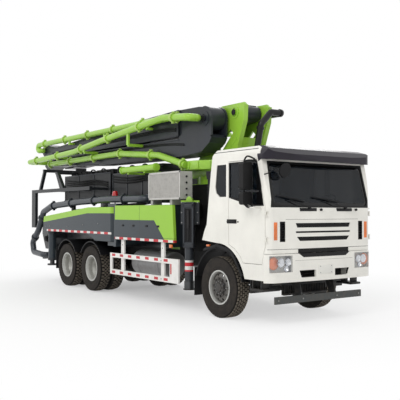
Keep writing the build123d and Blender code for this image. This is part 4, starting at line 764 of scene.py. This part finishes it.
# Axles: row, X, names of the wheel and the tyre, tyres' middle planes, tread, bolts' distance out, bolt circle
WHEELS = (("front", AXLE_1, "wheel", "tyre", (TRACK,), RIBS, TRACK + 0.128, 0.106),
          ("mid", AXLE_2, "wheels", "tyres", (TRACK, INNER_TRACK), LUGS, MATE + 0.118, 0.098),
          ("rear", AXLE_3, "wheels", "tyres", (TRACK, INNER_TRACK), LUGS, MATE + 0.118, 0.098))
HUB_BOLTS = 10
for side, hand in HANDS:
    for row, x, wheel, cad_tyre, tracks, tread, *_ in WHEELS:
        form = Form()
        for track in tracks:
            tyre(form, x, hand * track, tread)
        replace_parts(form.done(f"{row}_tread_{side}", TREADS[row], f"{row}_{wheel}_{side}", "tyre_rubber"),
                    f"{row}_{cad_tyre}_{side}")
for side, hand in HANDS:
    for row, x, wheel, *_, face, circle in WHEELS:
        form = Form()
        for across, up in ring(HUB_BOLTS, circle, 0.5):
            form.bolt((x + across, hand * face, TYRE_R + up), (0, hand, 0), 0.009, 0.01)
        form.bar((x + 0.245, hand * (face - 0.03), TYRE_R), (x + 0.215, hand * (face + 0.02), TYRE_R), 0.005, 8)
        form.done(f"{row}_{wheel}_hub_bolts_{side}", STEEL, f"{row}_{wheel}_{side}")

# ---------------------------------------------------------------- headlamps behind their lens
# Reflectors: X, Y, Z, radius. Their bowl: place along X, share of the radius
REFLECTORS = ((1.338, 0.975, 1.045, 0.07), (1.352, 0.835, 1.05, 0.058), (1.35, 0.87, 0.945, 0.045))
BOWL = ((0.0, 0.0), (0.0, 0.3), (0.018, 0.75), (0.036, 1.0), (0.04, 1.06), (0.034, 1.06), (0.012, 0.75),
        (-0.006, 0.3), (-0.006, 0.0))
for side, hand in HANDS:
    form = Form(hand)
    for x, y, z, radius in REFLECTORS:
        form.turned([(along, radius * share) for along, share in BOWL], at(x, hand * y, z), (1, 0, 0), 32)
        form.bars((x, y, z, x + 0.022, y, z, radius * 0.2, 12))
    form.done(f"headlamp_reflectors_{side}", CHROME)
    Form().turned([(0.0, 0.0), (0.0, 0.1), (0.02, 0.104), (0.03, 0.088), (0.036, 0.05), (0.04, 0.0)],
                  at(1.29, hand * 1.072, 1.03), (1, 0, 0), 40).done(f"turn_signal_{side}", AMBER)

# ---------------------------------------------------------------- cab fittings
SCREEN_LEAN = 0.17 / 0.75


def screen_x(z):
    """Distance of the windscreen's outer plane ahead of the front axle."""
    return 1.37 - (z - 1.95) * SCREEN_LEAN


# Wipers: Y of the pivot, Y and Z of the elbow, Y and Z of the blade's ends
WIPERS = ((-0.36, -0.8, 2.085, -1.03, 2.135, -0.42, 2.045), (0.5, 0.02, 2.085, -0.24, 2.12, 0.38, 2.045))
PIVOT_Z = 1.93
BLADE_BACK = Vector((0.016, 0, 0))
form = Form()
for pivot, elbow_y, elbow_z, y_1, z_1, y_2, z_2 in WIPERS:
    x = screen_x(PIVOT_Z) + 0.01
    form.bars((x, pivot, PIVOT_Z, x + 0.045, pivot, PIVOT_Z + 0.01, 0.02, 16))
    form.beam(at(x + 0.04, pivot, PIVOT_Z), at(screen_x(elbow_z) + 0.03, elbow_y, elbow_z), 0.016, 0.01, 0.003)
    start, end = (Vector(at(screen_x(z) + 0.012, y, z)) for y, z in ((y_1, z_1), (y_2, z_2)))
    form.beam(start, end, 0.012, 0.022, 0.003)
    form.beam(start.lerp(end, 0.25) + BLADE_BACK, start.lerp(end, 0.75) + BLADE_BACK, 0.01, 0.012, 0.002)
form.done("wipers", BLACK_PLASTIC)
Form().turned([(-0.03, 0.0), (-0.03, 0.095), (-0.018, 0.118), (0.0, 0.122), (0.01, 0.112), (0.01, 0.0)],
              at(1.385, -0.885, 2.545), (0.96, 0.0, -0.28), 40).done("front_round_mirror", BLACK_PLASTIC)
lines("front_mirror_arm", [((1.15, -1.205, 2.47), (1.24, -1.225, 2.47), (1.345, -1.18, 2.5), (1.355, -1.1, 2.575),
                            (1.36, -0.99, 2.6), (1.368, -0.9, 2.59))], 0.01, look=BLACK_PLASTIC)

# Trim round the wheel arch: X and Z
ARCH = ((0.66, 0.79), (0.72, 0.79), (0.45, 1.16), (0.36, 1.235), (-0.02, 1.305), (-0.4, 1.215),
        (-0.44, 1.165), (0.0, 1.25), (0.34, 1.18), (0.42, 1.115))
for side, hand in HANDS:
    door = f"door_{side}"
    Form(hand).boxes(
        (0.27, 1.217, 1.67, 0.54, 1.23, 1.742, 0.004), (0.285, 1.225, 1.694, 0.525, 1.249, 1.716, 0.007)
    ).bars((0.58, 1.215, 1.7, 0.58, 1.233, 1.7, 0.014, 20)).done(f"door_handle_{side}", BLACK_PLASTIC, door)
    Form(hand).boxes(
        (0.878, 1.268, 2.245, 0.886, 1.442, 2.665, 0.003), (0.878, 1.268, 2.0, 0.886, 1.442, 2.185, 0.003)
    ).done(f"mirror_glass_{side}", CHROME, door, "trim_black")
    Form(hand).boxes(
        *((0.915, 1.355, z - 0.02, 0.95, 1.395, z + 0.02, 0.006) for z in (2.3, 2.6, 2.06))
    ).done(f"mirror_clamps_{side}", BLACK_PLASTIC, door)
    Form(hand).box((-0.018, -0.034, -0.145), (0.01, 0.034, 0.145), 0.008,
                   placed(1.355, hand * 1.065, 1.555, -hand * 0.1)).boxes(
        (-0.335, 1.196, 1.25, -0.245, 1.232, 1.285, 0.006)).done(f"side_markers_{side}", AMBER)
    form = Form()
    for z in even(1.4, 0.042, 8):
        form.box((-0.02, -0.052, -0.004), (0.02, 0.052, 0.004), 0.0, placed(1.338, hand * 0.9225, z, 0.5, "Y"))
    form.done(f"corner_louvres_{side}", BLACK_PLASTIC)
    Form().plate([(fx(x), z) for x, z in ARCH], 1, hand * 1.2, hand * 1.236, 0.006).done(
        f"arch_trim_{side}", BLACK_PLASTIC)
    # Step with its hangers, splash panel and box ahead of the wheel, and a round canister behind it
    Form(hand).boxes(
        (0.8, 0.9, 0.56, 1.16, 1.16, 0.6, 0.012), (0.84, 0.98, 0.59, 0.87, 1.14, 0.86, 0.004),
        (1.06, 0.98, 0.59, 1.09, 1.14, 0.86, 0.004), (0.735, 0.44, 0.5, 0.765, 1.1, 0.9, 0.006),
        (0.765, 0.46, 0.64, 1.05, 0.86, 0.86, 0.02)
    ).bars((-0.86, 0.7, 0.56, -0.86, 0.7, 1.03, 0.105, 28), (-0.86, 0.7, 0.5, -0.86, 0.7, 0.57, 0.06, 20)
           ).done(f"cab_step_{side}", DARK_STEEL)

Form().boxes((1.405, -0.175, 0.828, 1.428, 0.175, 0.978, 0.006)).done("blank_plate", WHITE_PAINT)
form = Form()
for y, z in ((-0.13, 0.85), (-0.13, 0.956), (0.13, 0.85), (0.13, 0.956)):
    form.bolt(at(1.428, y, z), (1, 0, 0), 0.008, 0.004)
for y in (-0.95, -0.4, 0.4, 0.95):
    form.bolt(at(1.29, y, 0.42), (1, 0, 0), 0.014, 0.008)
form.done("front_bolts", STEEL)

# Radiator pack and lower cross members that show under the bumper
Form().boxes(
    (0.86, -0.5, 0.44, 0.9, 0.5, 0.86, 0.0),
    *((0.9, y - 0.006, 0.47, 0.935, y + 0.006, 0.8, 0.0) for y in even(-0.48, 0.04, 25)),
    *((0.895, -0.51, z - 0.018, 0.95, 0.51, z + 0.018, 0.005) for z in (0.455, 0.63, 0.785)),
    (0.2, -0.3, 0.56, 0.62, 0.3, 0.69, 0.02), (1.06, -0.62, 0.7, 1.2, 0.62, 0.79, 0.015)
).done("radiator_pack", DARK_STEEL, slot="engine_grey")
# Cowl covers under the windscreen, at the wiper pivots
form = Form()
for y_low, y_high in ((-0.56, -0.18), (0.3, 0.68)):
    form.boxes((1.365, y_low, 1.88, 1.4, y_high, 1.935, 0.01))
    form.bars((1.385, y_high + 0.1, 1.905, 1.412, y_high + 0.1, 1.91, 0.022, 20))
form.done("wiper_cowls", BLACK_PLASTIC)
# Mirror brackets: a tube from the roof edge over each mirror head, and one below to the pillar
MIRROR_TUBES = (((1.02, 1.232, 2.74), (1.02, 1.33, 2.78), (0.98, 1.38, 2.78), (0.94, 1.385, 2.7)),
                ((1.03, 1.232, 1.99), (1.02, 1.3, 1.95), (0.98, 1.37, 1.94), (0.94, 1.385, 2.02)))
for side, hand in HANDS:
    lines(f"mirror_arms_{side}", MIRROR_TUBES, 0.014, f"door_{side}", BLACK_PLASTIC, hand)

# ---------------------------------------------------------------- lockers, guards and tanks
for side, hand in HANDS:
    form = Form(hand)
    for x in (-3.45, -3.0, -2.45, -2.0):
        form.boxes((x, 1.246, 1.56, x + 0.09, 1.262, 1.6, 0.004))
        form.bars((x + 0.045, 1.25, 1.58, x + 0.045, 1.268, 1.58, 0.014, 14))
    form.done(f"locker_latches_{side}", DARK_STEEL)
    Form(hand).boxes((-1.56, 1.205, 1.17, -1.47, 1.244, 1.235, 0.008)).done(f"locker_marker_{side}", AMBER)
    Form(hand).side_bolts(0.012, 0.008, *(
        (x, y, z) for x in (-3.505, -1.86) for y, z in ((1.235, 0.545), (1.235, 0.905), (1.2, 1.15))
    )).done(f"guard_bolts_{side}", STEEL)
    Form(hand).bars(
        (-2.2, 0.93, 1.005, -2.2, 0.965, 1.05, 0.045, 24), (-3.352, 0.79, 0.78, -3.362, 0.79, 0.78, 0.225, 40),
        (-2.048, 0.79, 0.78, -2.038, 0.79, 0.78, 0.225, 40)).done(f"tank_cap_{side}", STEEL, slot="tank_grey")
    Form(hand).boxes(
        (-7.09, 0.62, 0.4, -7.08, 1.21, 0.92, 0.003), (-0.745, 0.62, 0.33, -0.735, 1.21, 0.85, 0.003)
    ).done(f"mud_flaps_{side}", HOSE_RUBBER)

# ---------------------------------------------------------------- oil cooler
form = Form()
for x in even(-2.445, 0.027, 42):
    form.boxes((x, -1.157, 2.15, x + 0.005, -1.148, 2.63, 0.0), (x, -0.872, 2.15, x + 0.005, -0.864, 2.63, 0.0))
for x_1, z_1, x_2, z_2 in ((-2.485, 2.112, -1.295, 2.152), (-2.485, 2.628, -1.295, 2.668),
                           (-2.485, 2.112, -2.448, 2.668), (-1.332, 2.112, -1.295, 2.668)):
    form.boxes((x_1, -1.163, z_1, x_2, -1.146, z_2, 0.003))
form.done("cooler_fins", LOOKS["oil_cooler"], slot="tank_grey")
Form().bars(*((-1.302, -1.01, z, -1.285, -1.01, z, 0.02, 16) for z in (2.2, 2.32, 2.44, 2.56))).collar(
    at(-1.89, -0.872, 2.39), (0, 1, 0), 0.0, 0.012, 0.172, 0.185).done("cooler_ports", DARK_STEEL)

# ---------------------------------------------------------------- outriggers
# A front leg's column, in its own directions out, across and up: corners of the bars round its recess
LEG_FRAME = (((0.098, -0.102, 1.22), (0.12, -0.068, 2.045)), ((0.098, 0.068, 1.22), (0.12, 0.102, 2.045)),
             ((0.098, -0.1, 1.205), (0.12, 0.1, 1.275)), ((0.098, -0.1, 1.95), (0.12, 0.1, 2.02)),
             ((-0.12, -0.12, 2.04), (0.12, 0.12, 2.056)))
LIFT_LUG = ((-0.07, 2.05), (0.07, 2.05), (0.05, 2.13), (0.022, 2.165), (-0.022, 2.165), (-0.05, 2.13))
for side, hand in HANDS:
    turn = placed(-1.1, hand * 1.08, 0.0, hand * math.pi / 4)
    leg, arm = f"front_leg_{side}", f"rear_arm_{side}"
    # A black sheet at the back of the leg's recess is painted shade.
    Form().box((0.098, -0.068, 1.3), (0.104, 0.068, 1.93), 0.0, turn).done(
        f"leg_recess_shade_{side}", BLACK_PLASTIC, leg)
    form = Form()
    for low, high in LEG_FRAME:
        form.box(low, high, 0.004, turn)
    form.done(f"leg_frame_{side}", SLATE_PAINT, leg)
    top, neck, foot = (turn @ Vector((0.106, 0.0, z)) for z in (1.9, 1.56, 1.33))
    Form().bar(neck, top, 0.03, 20).bar(foot, neck, 0.016, 16).done(f"leg_lock_cylinder_{side}", DARK_STEEL, leg)
    # The bolts of the left leg's plate stand 20 mm lower
    drop = 0.0 if hand < 0 else 0.02
    form = Form()
    for z in (1.665, 1.86, 2.05):
        for y in (-0.155, 0.155):
            form.bolt(turn @ Vector((-0.036, y, z - drop)), (1, hand, 0), 0.012, 0.01)
    form.done(f"leg_plate_bolts_{side}", STEEL, leg)
    form = Form().plate(LIFT_LUG, 0, -0.012, 0.012, 0.004)
    bmesh.ops.transform(form.work, matrix=turn, verts=form.work.verts)
    form.done(f"leg_lift_lug_{side}", GREEN_PAINT, leg)
    Form(hand).bars((-1.1, 1.08, 0.39, -1.1, 1.08, 0.412, 0.112, 40)).done(
        f"front_foot_pad_{side}", DARK_STEEL, f"front_jack_{side}")
    column = at(-7.56, hand * 1.112, 0.0)
    Form().collar(column, (0, 0, 1), 0.59, 0.64, 0.105, 0.118).collar(
        column, (0, 0, 1), 1.3, 1.36, 0.105, 0.135).done(f"rear_leg_collars_{side}", SLATE_PAINT, arm)
    Form(hand).side_bolts(0.014, 0.008, (-7.7, 1.25, 1.49), (-7.42, 1.25, 1.5), (-6.3, 1.25, 1.5),
                          (-5.4, 1.25, 1.56), (-4.6, 1.25, 1.6), (-4.6, 1.25, 1.4)).done(
        f"rear_arm_bolts_{side}", STEEL, arm)

# ---------------------------------------------------------------- booms
# Y of the outer faces of the sections in the right lane, and of the fourth section
RIGHT_FACE = -0.755
LEFT_FACE = 0.85
BOOM_1_EDGES = ((-2.3, 3.918, -8.6, 3.425), (-2.4, 3.45, -8.2, 3.145))
# Edge plates along the sections: body, Y of the face, then start X and Z, end X and Z
EDGES = (
    ("boom_2", RIGHT_FACE, (
        (-8.6, 3.365, -1.95, 3.345), (-7.9, 3.158, -5.5, 3.038), (-5.5, 3.038, -2.72, 3.003),
        (-2.7, 3.003, -1.82, 3.003), (-1.8, 3.005, -1.2, 3.048))),
    ("boom_3", RIGHT_FACE, (
        (-2.02, 3.938, -4.3, 3.862), (-4.3, 3.862, -8.1, 3.652), (-2.02, 3.422, -8.1, 3.422))),
    ("boom_1", -0.2, BOOM_1_EDGES), ("boom_1", 0.2, BOOM_1_EDGES),
    ("boom_4", LEFT_FACE, ((-8.5, 3.585, -3.1, 3.585), (-8.3, 3.315, -3.0, 3.315))),
)
# Doubler plates welded round the pins: body, X, Y of the face, Z, radius
DOUBLERS = (("boom_2", -8.75, RIGHT_FACE, 3.27, 0.105), ("boom_3", -8.96, RIGHT_FACE, 3.63, 0.12),
            ("boom_4", -8.96, LEFT_FACE, 3.63, 0.12), ("boom_2", -1.06, RIGHT_FACE, 3.68, 0.15))
# Where the boom is pinned to the turret: X and Z
BOOM_PIN = (-0.68, 3.79)
# Pin covers with their bolts: body, X, Y of the face, Z, radius
PINS = (("boom_2", -1.06, -0.79, 3.68, 0.052), ("turret", BOOM_PIN[0], -0.33, BOOM_PIN[1], 0.058),
        ("turret", BOOM_PIN[0], 0.308, BOOM_PIN[1], 0.058), ("boom_4", -2.7, 0.868, 3.64, 0.042))
STRIPS = {}
for body, y, rows in EDGES:
    form = STRIPS.setdefault(body, Form())
    y += math.copysign(0.003, y)
    for x_1, z_1, x_2, z_2 in rows:
        form.beam(at(x_1, y, z_1), at(x_2, y, z_2), 0.014, 0.028, 0.003)
for body, x, y, z, radius in DOUBLERS:
    STRIPS[body].collar(at(x, y, z), (0, y, 0), -0.004, 0.01, radius * 0.55, radius, 48)
for body, form in STRIPS.items():
    form.done(f"{body}_edge_plates", CHARCOAL_PAINT, body, "boom_charcoal")
for number, (body, x, y, z, radius) in enumerate(PINS):
    hand = math.copysign(1, y)
    form = Form().bar(at(x, y - hand * 0.004, z), at(x, y + hand * 0.012, z), radius, 32)
    for across, up in ring(6, radius * 0.72):
        form.bolt(at(x + across, y + hand * 0.012, z + up), (0, hand, 0), 0.008, 0.007)
    form.done(f"pin_cover_{number}", DARK_STEEL, body)

# Couplings on the delivery pipes: body, Y, pipe's radius, then X, Z and the pipe's rise along X
COUPLINGS = (
    ("boom_1", 0.288, 0.07, (
        (-3.079, 3.669, -0.069), (-4.711, 3.556, -0.069), (-6.343, 3.443, -0.069), (-7.975, 3.33, -0.069))),
    ("boom_2", -1.13, 0.092, (
        (-8.65, 3.312, 0.021), (-7.216, 3.348, 0.031), (-5.784, 3.42, 0.101), (-4.356, 3.558, 0.085),
        (-2.927, 3.679, 0.085), (-1.587, 3.726, -0.088))),
    ("boom_2", -0.86, 0.092, (
        (-8.282, 3.2, 0.005), (-6.982, 3.207, 0.005), (-5.614, 3.214, 0.005), (-4.246, 3.215, -0.091),
        (-2.884, 3.09, -0.091), (-1.649, 2.826, -0.252))),
    ("boom_3", -0.88, 0.092, (
        (-1.829, 3.778, -0.127), (-3.194, 3.8, 0.0), (-4.56, 3.8, 0.0), (-5.926, 3.8, 0.0), (-7.292, 3.8, 0.0),
        (-8.658, 3.8, 0.0))),
    ("boom_4", 0.97, 0.07, ((-7.75, 3.45, 0.0), (-5.814, 3.45, 0.0), (-3.878, 3.45, 0.0))),
    ("boom_5", 1.15, 0.07, ((-4.031, 3.752, 0.008), (-5.458, 3.741, 0.008), (-6.884, 3.729, 0.008))),
    ("chassis", -1.1, 0.1, (
        (-3.633, 2.153, -0.009), (-5.108, 2.141, 0.027), (-6.397, 2.094, 0.051), (-7.501, 2.037, 0.051),
        (-8.319, 1.705, 1.39), (-8.806, 1.159, 0.858))),
)
# A coupling's section: place along the pipe, height over the pipe's surface
SHELL = ((-0.031, -0.012), (-0.031, 0.004), (-0.012, 0.007), (0.012, 0.007), (0.031, 0.004), (0.031, -0.012))
BOLT_HALF = Vector((0, 0.04, 0))
CLAMPS = {}
for body, y, radius, rows in COUPLINGS:
    form = CLAMPS.setdefault(body, Form())
    for x, z, rise in rows:
        along = Vector((1, 0, rise)).normalized()
        up = Vector((-along.z, 0, along.x))
        place = Vector(at(x, y, z))
        form.turned([(step, radius + height) for step, height in SHELL], place, along, 28, True)
        for hand in (-1, 1):
            lug = place + up * (hand * (radius + 0.014))
            form.beam(lug - along * 0.024, lug + along * 0.024, 0.052, 0.026, 0.004)
        bolt = place + up * (radius + 0.016)
        form.bar(bolt - BOLT_HALF, bolt + BOLT_HALF, 0.008, 8)
for body, form in CLAMPS.items():
    if body == "chassis":
        form.done(f"{body}_couplings", SLATE_PAINT, body, "deck_charcoal")
    else:
        form.done(f"{body}_couplings", CLAMP_PAINT, body)

# Hydraulic lines fixed along the sections: body, Y, Z of each line, then X and rise of a line's points
BOOM_LINES = (
    ("boom_2", -0.768, (3.318, 3.29), ((-8.3, 0.0), (-6.0, 0.004), (-3.6, 0.002), (-2.2, -0.02), (-1.75, -0.08))),
    ("boom_3", -0.768, (3.52, 3.49, 3.46), ((-8.4, 0.0), (-6.0, 0.05), (-3.6, 0.09), (-2.3, 0.11), (-2.05, 0.06))),
    ("boom_1", -0.212, (3.6, 3.57, 3.54), ((-8.3, -0.28), (-5.0, -0.08), (-2.4, 0.05), (-1.9, 0.04))),
)
for body, y, levels, points in BOOM_LINES:
    lines(f"{body}_lines", [[(x, y, z + rise) for x, rise in points] for z in levels], 0.01, body)

# ---------------------------------------------------------------- turret and pedestal
# Where the turret turns
SLEW_X = -1.5
# Only the bolts of the slew ring that stand this far out clear the turret's foot
FREE_Y = 0.449
form = Form()
for x, y in ring(28, 0.47):
    if abs(y) > FREE_Y:
        form.bolt(at(SLEW_X + x, y, 2.58), (0, 0, 1), 0.014, 0.012)
for hand in (-1, 1):
    for x in (-1.9, -1.6, -1.3, -1.0, -0.75):
        form.bolt(at(x, hand * 0.3, 2.83), (0, hand, 0), 0.012, 0.01)
form.done("turret_bolts", STEEL, "turret")
# Platform over the slew ring with ribs round it, and rings round the boom's pin
PLATFORM_R = 0.82
form = Form().plate([(fx(SLEW_X + x), y) for x, y in ring(48, PLATFORM_R)], 2, 2.7, 2.88, 0.012)
for angle in even(0.0, math.tau / 20, 20):
    form.box((PLATFORM_R - 0.008, -0.028, 2.715), (PLATFORM_R + 0.016, 0.028, 2.865), 0.004,
             placed(SLEW_X, 0, 0, angle))
for hand in (-1, 1):
    form.collar(at(BOOM_PIN[0], hand * 0.3, BOOM_PIN[1]), (0, hand, 0), -0.004, 0.014, 0.085, 0.118)
form.done("turret_platform", GREEN_PAINT, "turret")
form = Form()
for y in (-0.303, 0.303):
    for x_1, z_1, x_2, z_2 in ((-0.66, 3.42, -0.585, 3.2), (-0.62, 3.3, -1.15, 2.84), (-1.4, 3.52, -1.9, 2.88)):
        form.beam(at(x_1, y, z_1), at(x_2, y, z_2), 0.01, 0.02, 0.003)
form.done("cheek_ribs", GREEN_PAINT, "turret")
lines("turret_lines", [[(x - shift, shift - 0.235, z) for x, z in (
    (-0.7, 2.81), (-0.66, 3.05), (-0.58, 3.3), (-0.6, 3.5))] for shift in (0.0, 0.035, 0.07)], 0.013, "turret")

# ---------------------------------------------------------------- deck lines and fittings
DECK_RUNS = [
    [(-3.0, -0.62, 2.1), (-3.3, -0.75, 2.03), (-3.9, -0.8, 2.02), (-4.5, -0.78, 1.9), (-5.2, -0.6, 1.75)],
    [(-3.1, -0.66, 2.16), (-3.5, -0.72, 2.06), (-4.2, -0.7, 2.05), (-4.9, -0.66, 2.0), (-5.3, -0.52, 1.9)],
    [(-2.62, -0.45, 2.3), (-2.8, -0.6, 2.2), (-3.1, -0.84, 2.05), (-3.6, -0.86, 2.03), (-4.0, -0.84, 2.03)],
    [(-5.3, -0.5, 2.02), (-5.7, -0.75, 1.96), (-6.4, -0.8, 1.94), (-7.2, -0.76, 1.9), (-7.8, -0.5, 1.7)],
]
MIRRORED_RUNS = [[(x, -y, z) for x, y, z in DECK_RUNS[number]] for number in (3, 0)]
lines("deck_lines", DECK_RUNS + MIRRORED_RUNS, 0.019)
form = Form().boxes(
    (-7.6, -0.52, 2.79, -6.55, 0.52, 2.93, 0.02), (-6.3, -0.45, 2.79, -5.4, 0.48, 2.945, 0.02),
    (-4.95, -0.52, 2.79, -3.9, 0.52, 2.94, 0.02), (-3.7, -0.46, 2.79, -3.05, 0.46, 2.945, 0.02))
for x in even(-7.5, 0.29, 16):
    form.bars((x, -0.565, 2.8, x, -0.565, 2.9, 0.024, 12),
              (x + 0.12, -0.555, 2.86, x + 0.2, -0.4, 2.88, 0.018, 10))
form.done("deck_valve_blocks", DARK_STEEL, slot="deck_charcoal")
LOOPS = [[(x, -0.565, 2.89), (x + 0.05, -0.6, 2.945), (x + 0.22, -0.58, 2.945), (x + 0.3, -0.565, 2.87)]
         for x in (-7.5, -6.92, -6.34, -5.76, -4.89, -4.31, -3.73)]
WALL_HOSES = [[(x, -0.61, 2.6 + 0.06 * row), (x + 0.8, -0.66, 2.52 + 0.06 * row),
               (x + 1.7, -0.63, 2.62 + 0.04 * row), (x + 2.4, -0.61, 2.5 + 0.05 * row)]
              for x in (-7.75, -5.05) for row in range(3)]
lines("valve_hoses", LOOPS + WALL_HOSES, 0.017)
Form().boxes(*((x, y, 1.35, x + 0.02, y + 0.29, 1.362, 0.0) for x in even(-7.95, 0.118, 30) for y in (-0.93, 0.64))
             ).done("deck_tread_strips", DARK_STEEL, slot="deck_charcoal")
# Ribs on the walls of the deck tanks: X of the wall's ends, its lower and upper edge
TANK_WALLS = ((-7.88, -5.22, 2.155, 2.845), (-5.08, -2.97, 2.155, 2.795))
form = Form()
for y in (-0.604, 0.604):
    for x_low, x_high, z_low, z_high in TANK_WALLS:
        for z in (z_low + 0.012, z_high - 0.012):
            form.beam(at(x_low, y, z), at(x_high, y, z), 0.014, 0.03, 0.003)
        for share in (0.0, 0.33, 0.66, 1.0):
            x = x_low + (x_high - x_low) * share
            form.beam(at(x, y, z_low), at(x, y, z_high), 0.014, 0.03, 0.003)
form.done("deck_tank_ribs", CHARCOAL_PAINT)
Form().bars(
    *((-9.03, 0.86, z, -9.03, 1.1, z, 0.014, 12) for z in (0.86, 1.08, 1.3)),
    *((-9.03, y, 0.8, -9.03, y, 1.46, 0.016, 12) for y in (0.86, 1.1))
).boxes((-9.03, 0.84, 1.43, -8.985, 1.12, 1.47, 0.004)).done("rear_ladder", DARK_STEEL)
# An agitator drive's section: distance out from the hopper's wall, radius
DRIVE = ((-0.002, 0.0), (-0.002, 0.11), (0.035, 0.11), (0.04, 0.075), (0.11, 0.075), (0.12, 0.06), (0.12, 0.0))
form = Form()
for hand in (-1, 1):
    form.turned(DRIVE, at(-8.55, hand * 0.8, 1.12), (0, hand, 0), 36)
    for across, up in ring(8, 0.093):
        form.bolt(at(-8.55 + across, hand * 0.835, 1.12 + up), (0, hand, 0), 0.01, 0.01)
form.done("agitator_drives", DARK_STEEL)
form = Form()
for y in (-0.785, 0.785):
    form.beam(at(-9.02, y, 1.615), at(-8.13, y, 1.615), 0.045, 0.02, 0.004)
form.beam(at(-9.025, -0.8, 1.605), at(-9.025, 0.8, 1.605), 0.03, 0.03, 0.004)
form.done("hopper_rim", CHARCOAL_PAINT)
BEACON_RED = paint("beacon_red", srgb(180, 14, 22), 0.2, dirt=0.0, coat=1.0)
Form().bars(*((x - 4.42, y - 0.9, 2.222, x - 4.42, y - 0.9, 2.282, 0.005, 8) for x, y in ring(11, 0.066))).done(
    "beacon_ribs", BEACON_RED, slot="lamp_lens")
Form().boxes(
    *((-0.726, -0.926, z, -0.554, -0.784, z + 0.014, 0.003) for z in even(1.5, 0.105, 9)),
    *((-0.538, y, 2.565, -0.532, y + 0.012, 2.622, 0.0) for y in even(-0.925, 0.026, 6))
).done("snorkel_ribs", BLACK_PLASTIC)

# ---------------------------------------------------------------- floor, backdrop and light
FLOOR_HALF = 60
floor_mesh = bpy.data.meshes.new("floor")
work = bmesh.new()
bmesh.ops.create_grid(work, x_segments=2, y_segments=2, size=FLOOR_HALF)
work.to_mesh(floor_mesh)
work.free()
floor = bpy.data.objects.new("floor", floor_mesh)
bpy.context.scene.collection.objects.link(floor)
ground = Material("floor_pale")
ground.set(Base_Color=ground.mix(ground.noise(0.6, 3), (0.93, 0.93, 0.93), (0.96, 0.96, 0.96)), Roughness=0.95)
# Away from the truck the floor glows as white as the backdrop
glow = ground.node("ShaderNodeEmission", {}, {"Color": (1.0, 1.0, 1.0), "Strength": 1.0})
reach = (ground.x ** 2 + ground.y ** 2) ** 0.5
fade = (ground.span(reach, 1.5, 8.5) * 0.65 + 0.35) * ground.seen()
both = ground.node("ShaderNodeMixShader", {}, [fade, ground.surface, glow])
ground.feed(next(n for n in ground.tree.nodes if n.type == "OUTPUT_MATERIAL").inputs["Surface"], both)
floor_mesh.materials.append(ground.material)

world = bpy.data.worlds.new("studio")
bpy.context.scene.world = world
world.use_nodes = True
sky = Nodes(world.node_tree)
# Light from the backdrop, which itself looks white
SKY_LEVEL = 0.72
level = sky.seen() * (1 - SKY_LEVEL) + SKY_LEVEL
backdrop = sky.node("ShaderNodeBackground", {}, {"Color": (1.0, 1.0, 1.0), "Strength": level})
sky.node("ShaderNodeOutputWorld", {}, {"Surface": backdrop})


def lamp(name, place, aim, energy, size):
    """A soft square light that points at a place."""
    data = bpy.data.lights.new(name, "AREA")
    data.energy = energy
    data.size = size
    light = bpy.data.objects.new(name, data)
    light.location = place
    light.rotation_euler = (Vector(aim) - Vector(place)).to_track_quat("-Z", "Y").to_euler()
    bpy.context.scene.collection.objects.link(light)


lamp("key", (11, -13, 14), (0, 0, 1.5), 1000, 8)
lamp("fill", (-6, -16, 9), (0, 0, 1.5), 350, 10)
lamp("rim", (-10, 12, 12), (0, 0, 2), 500, 8)
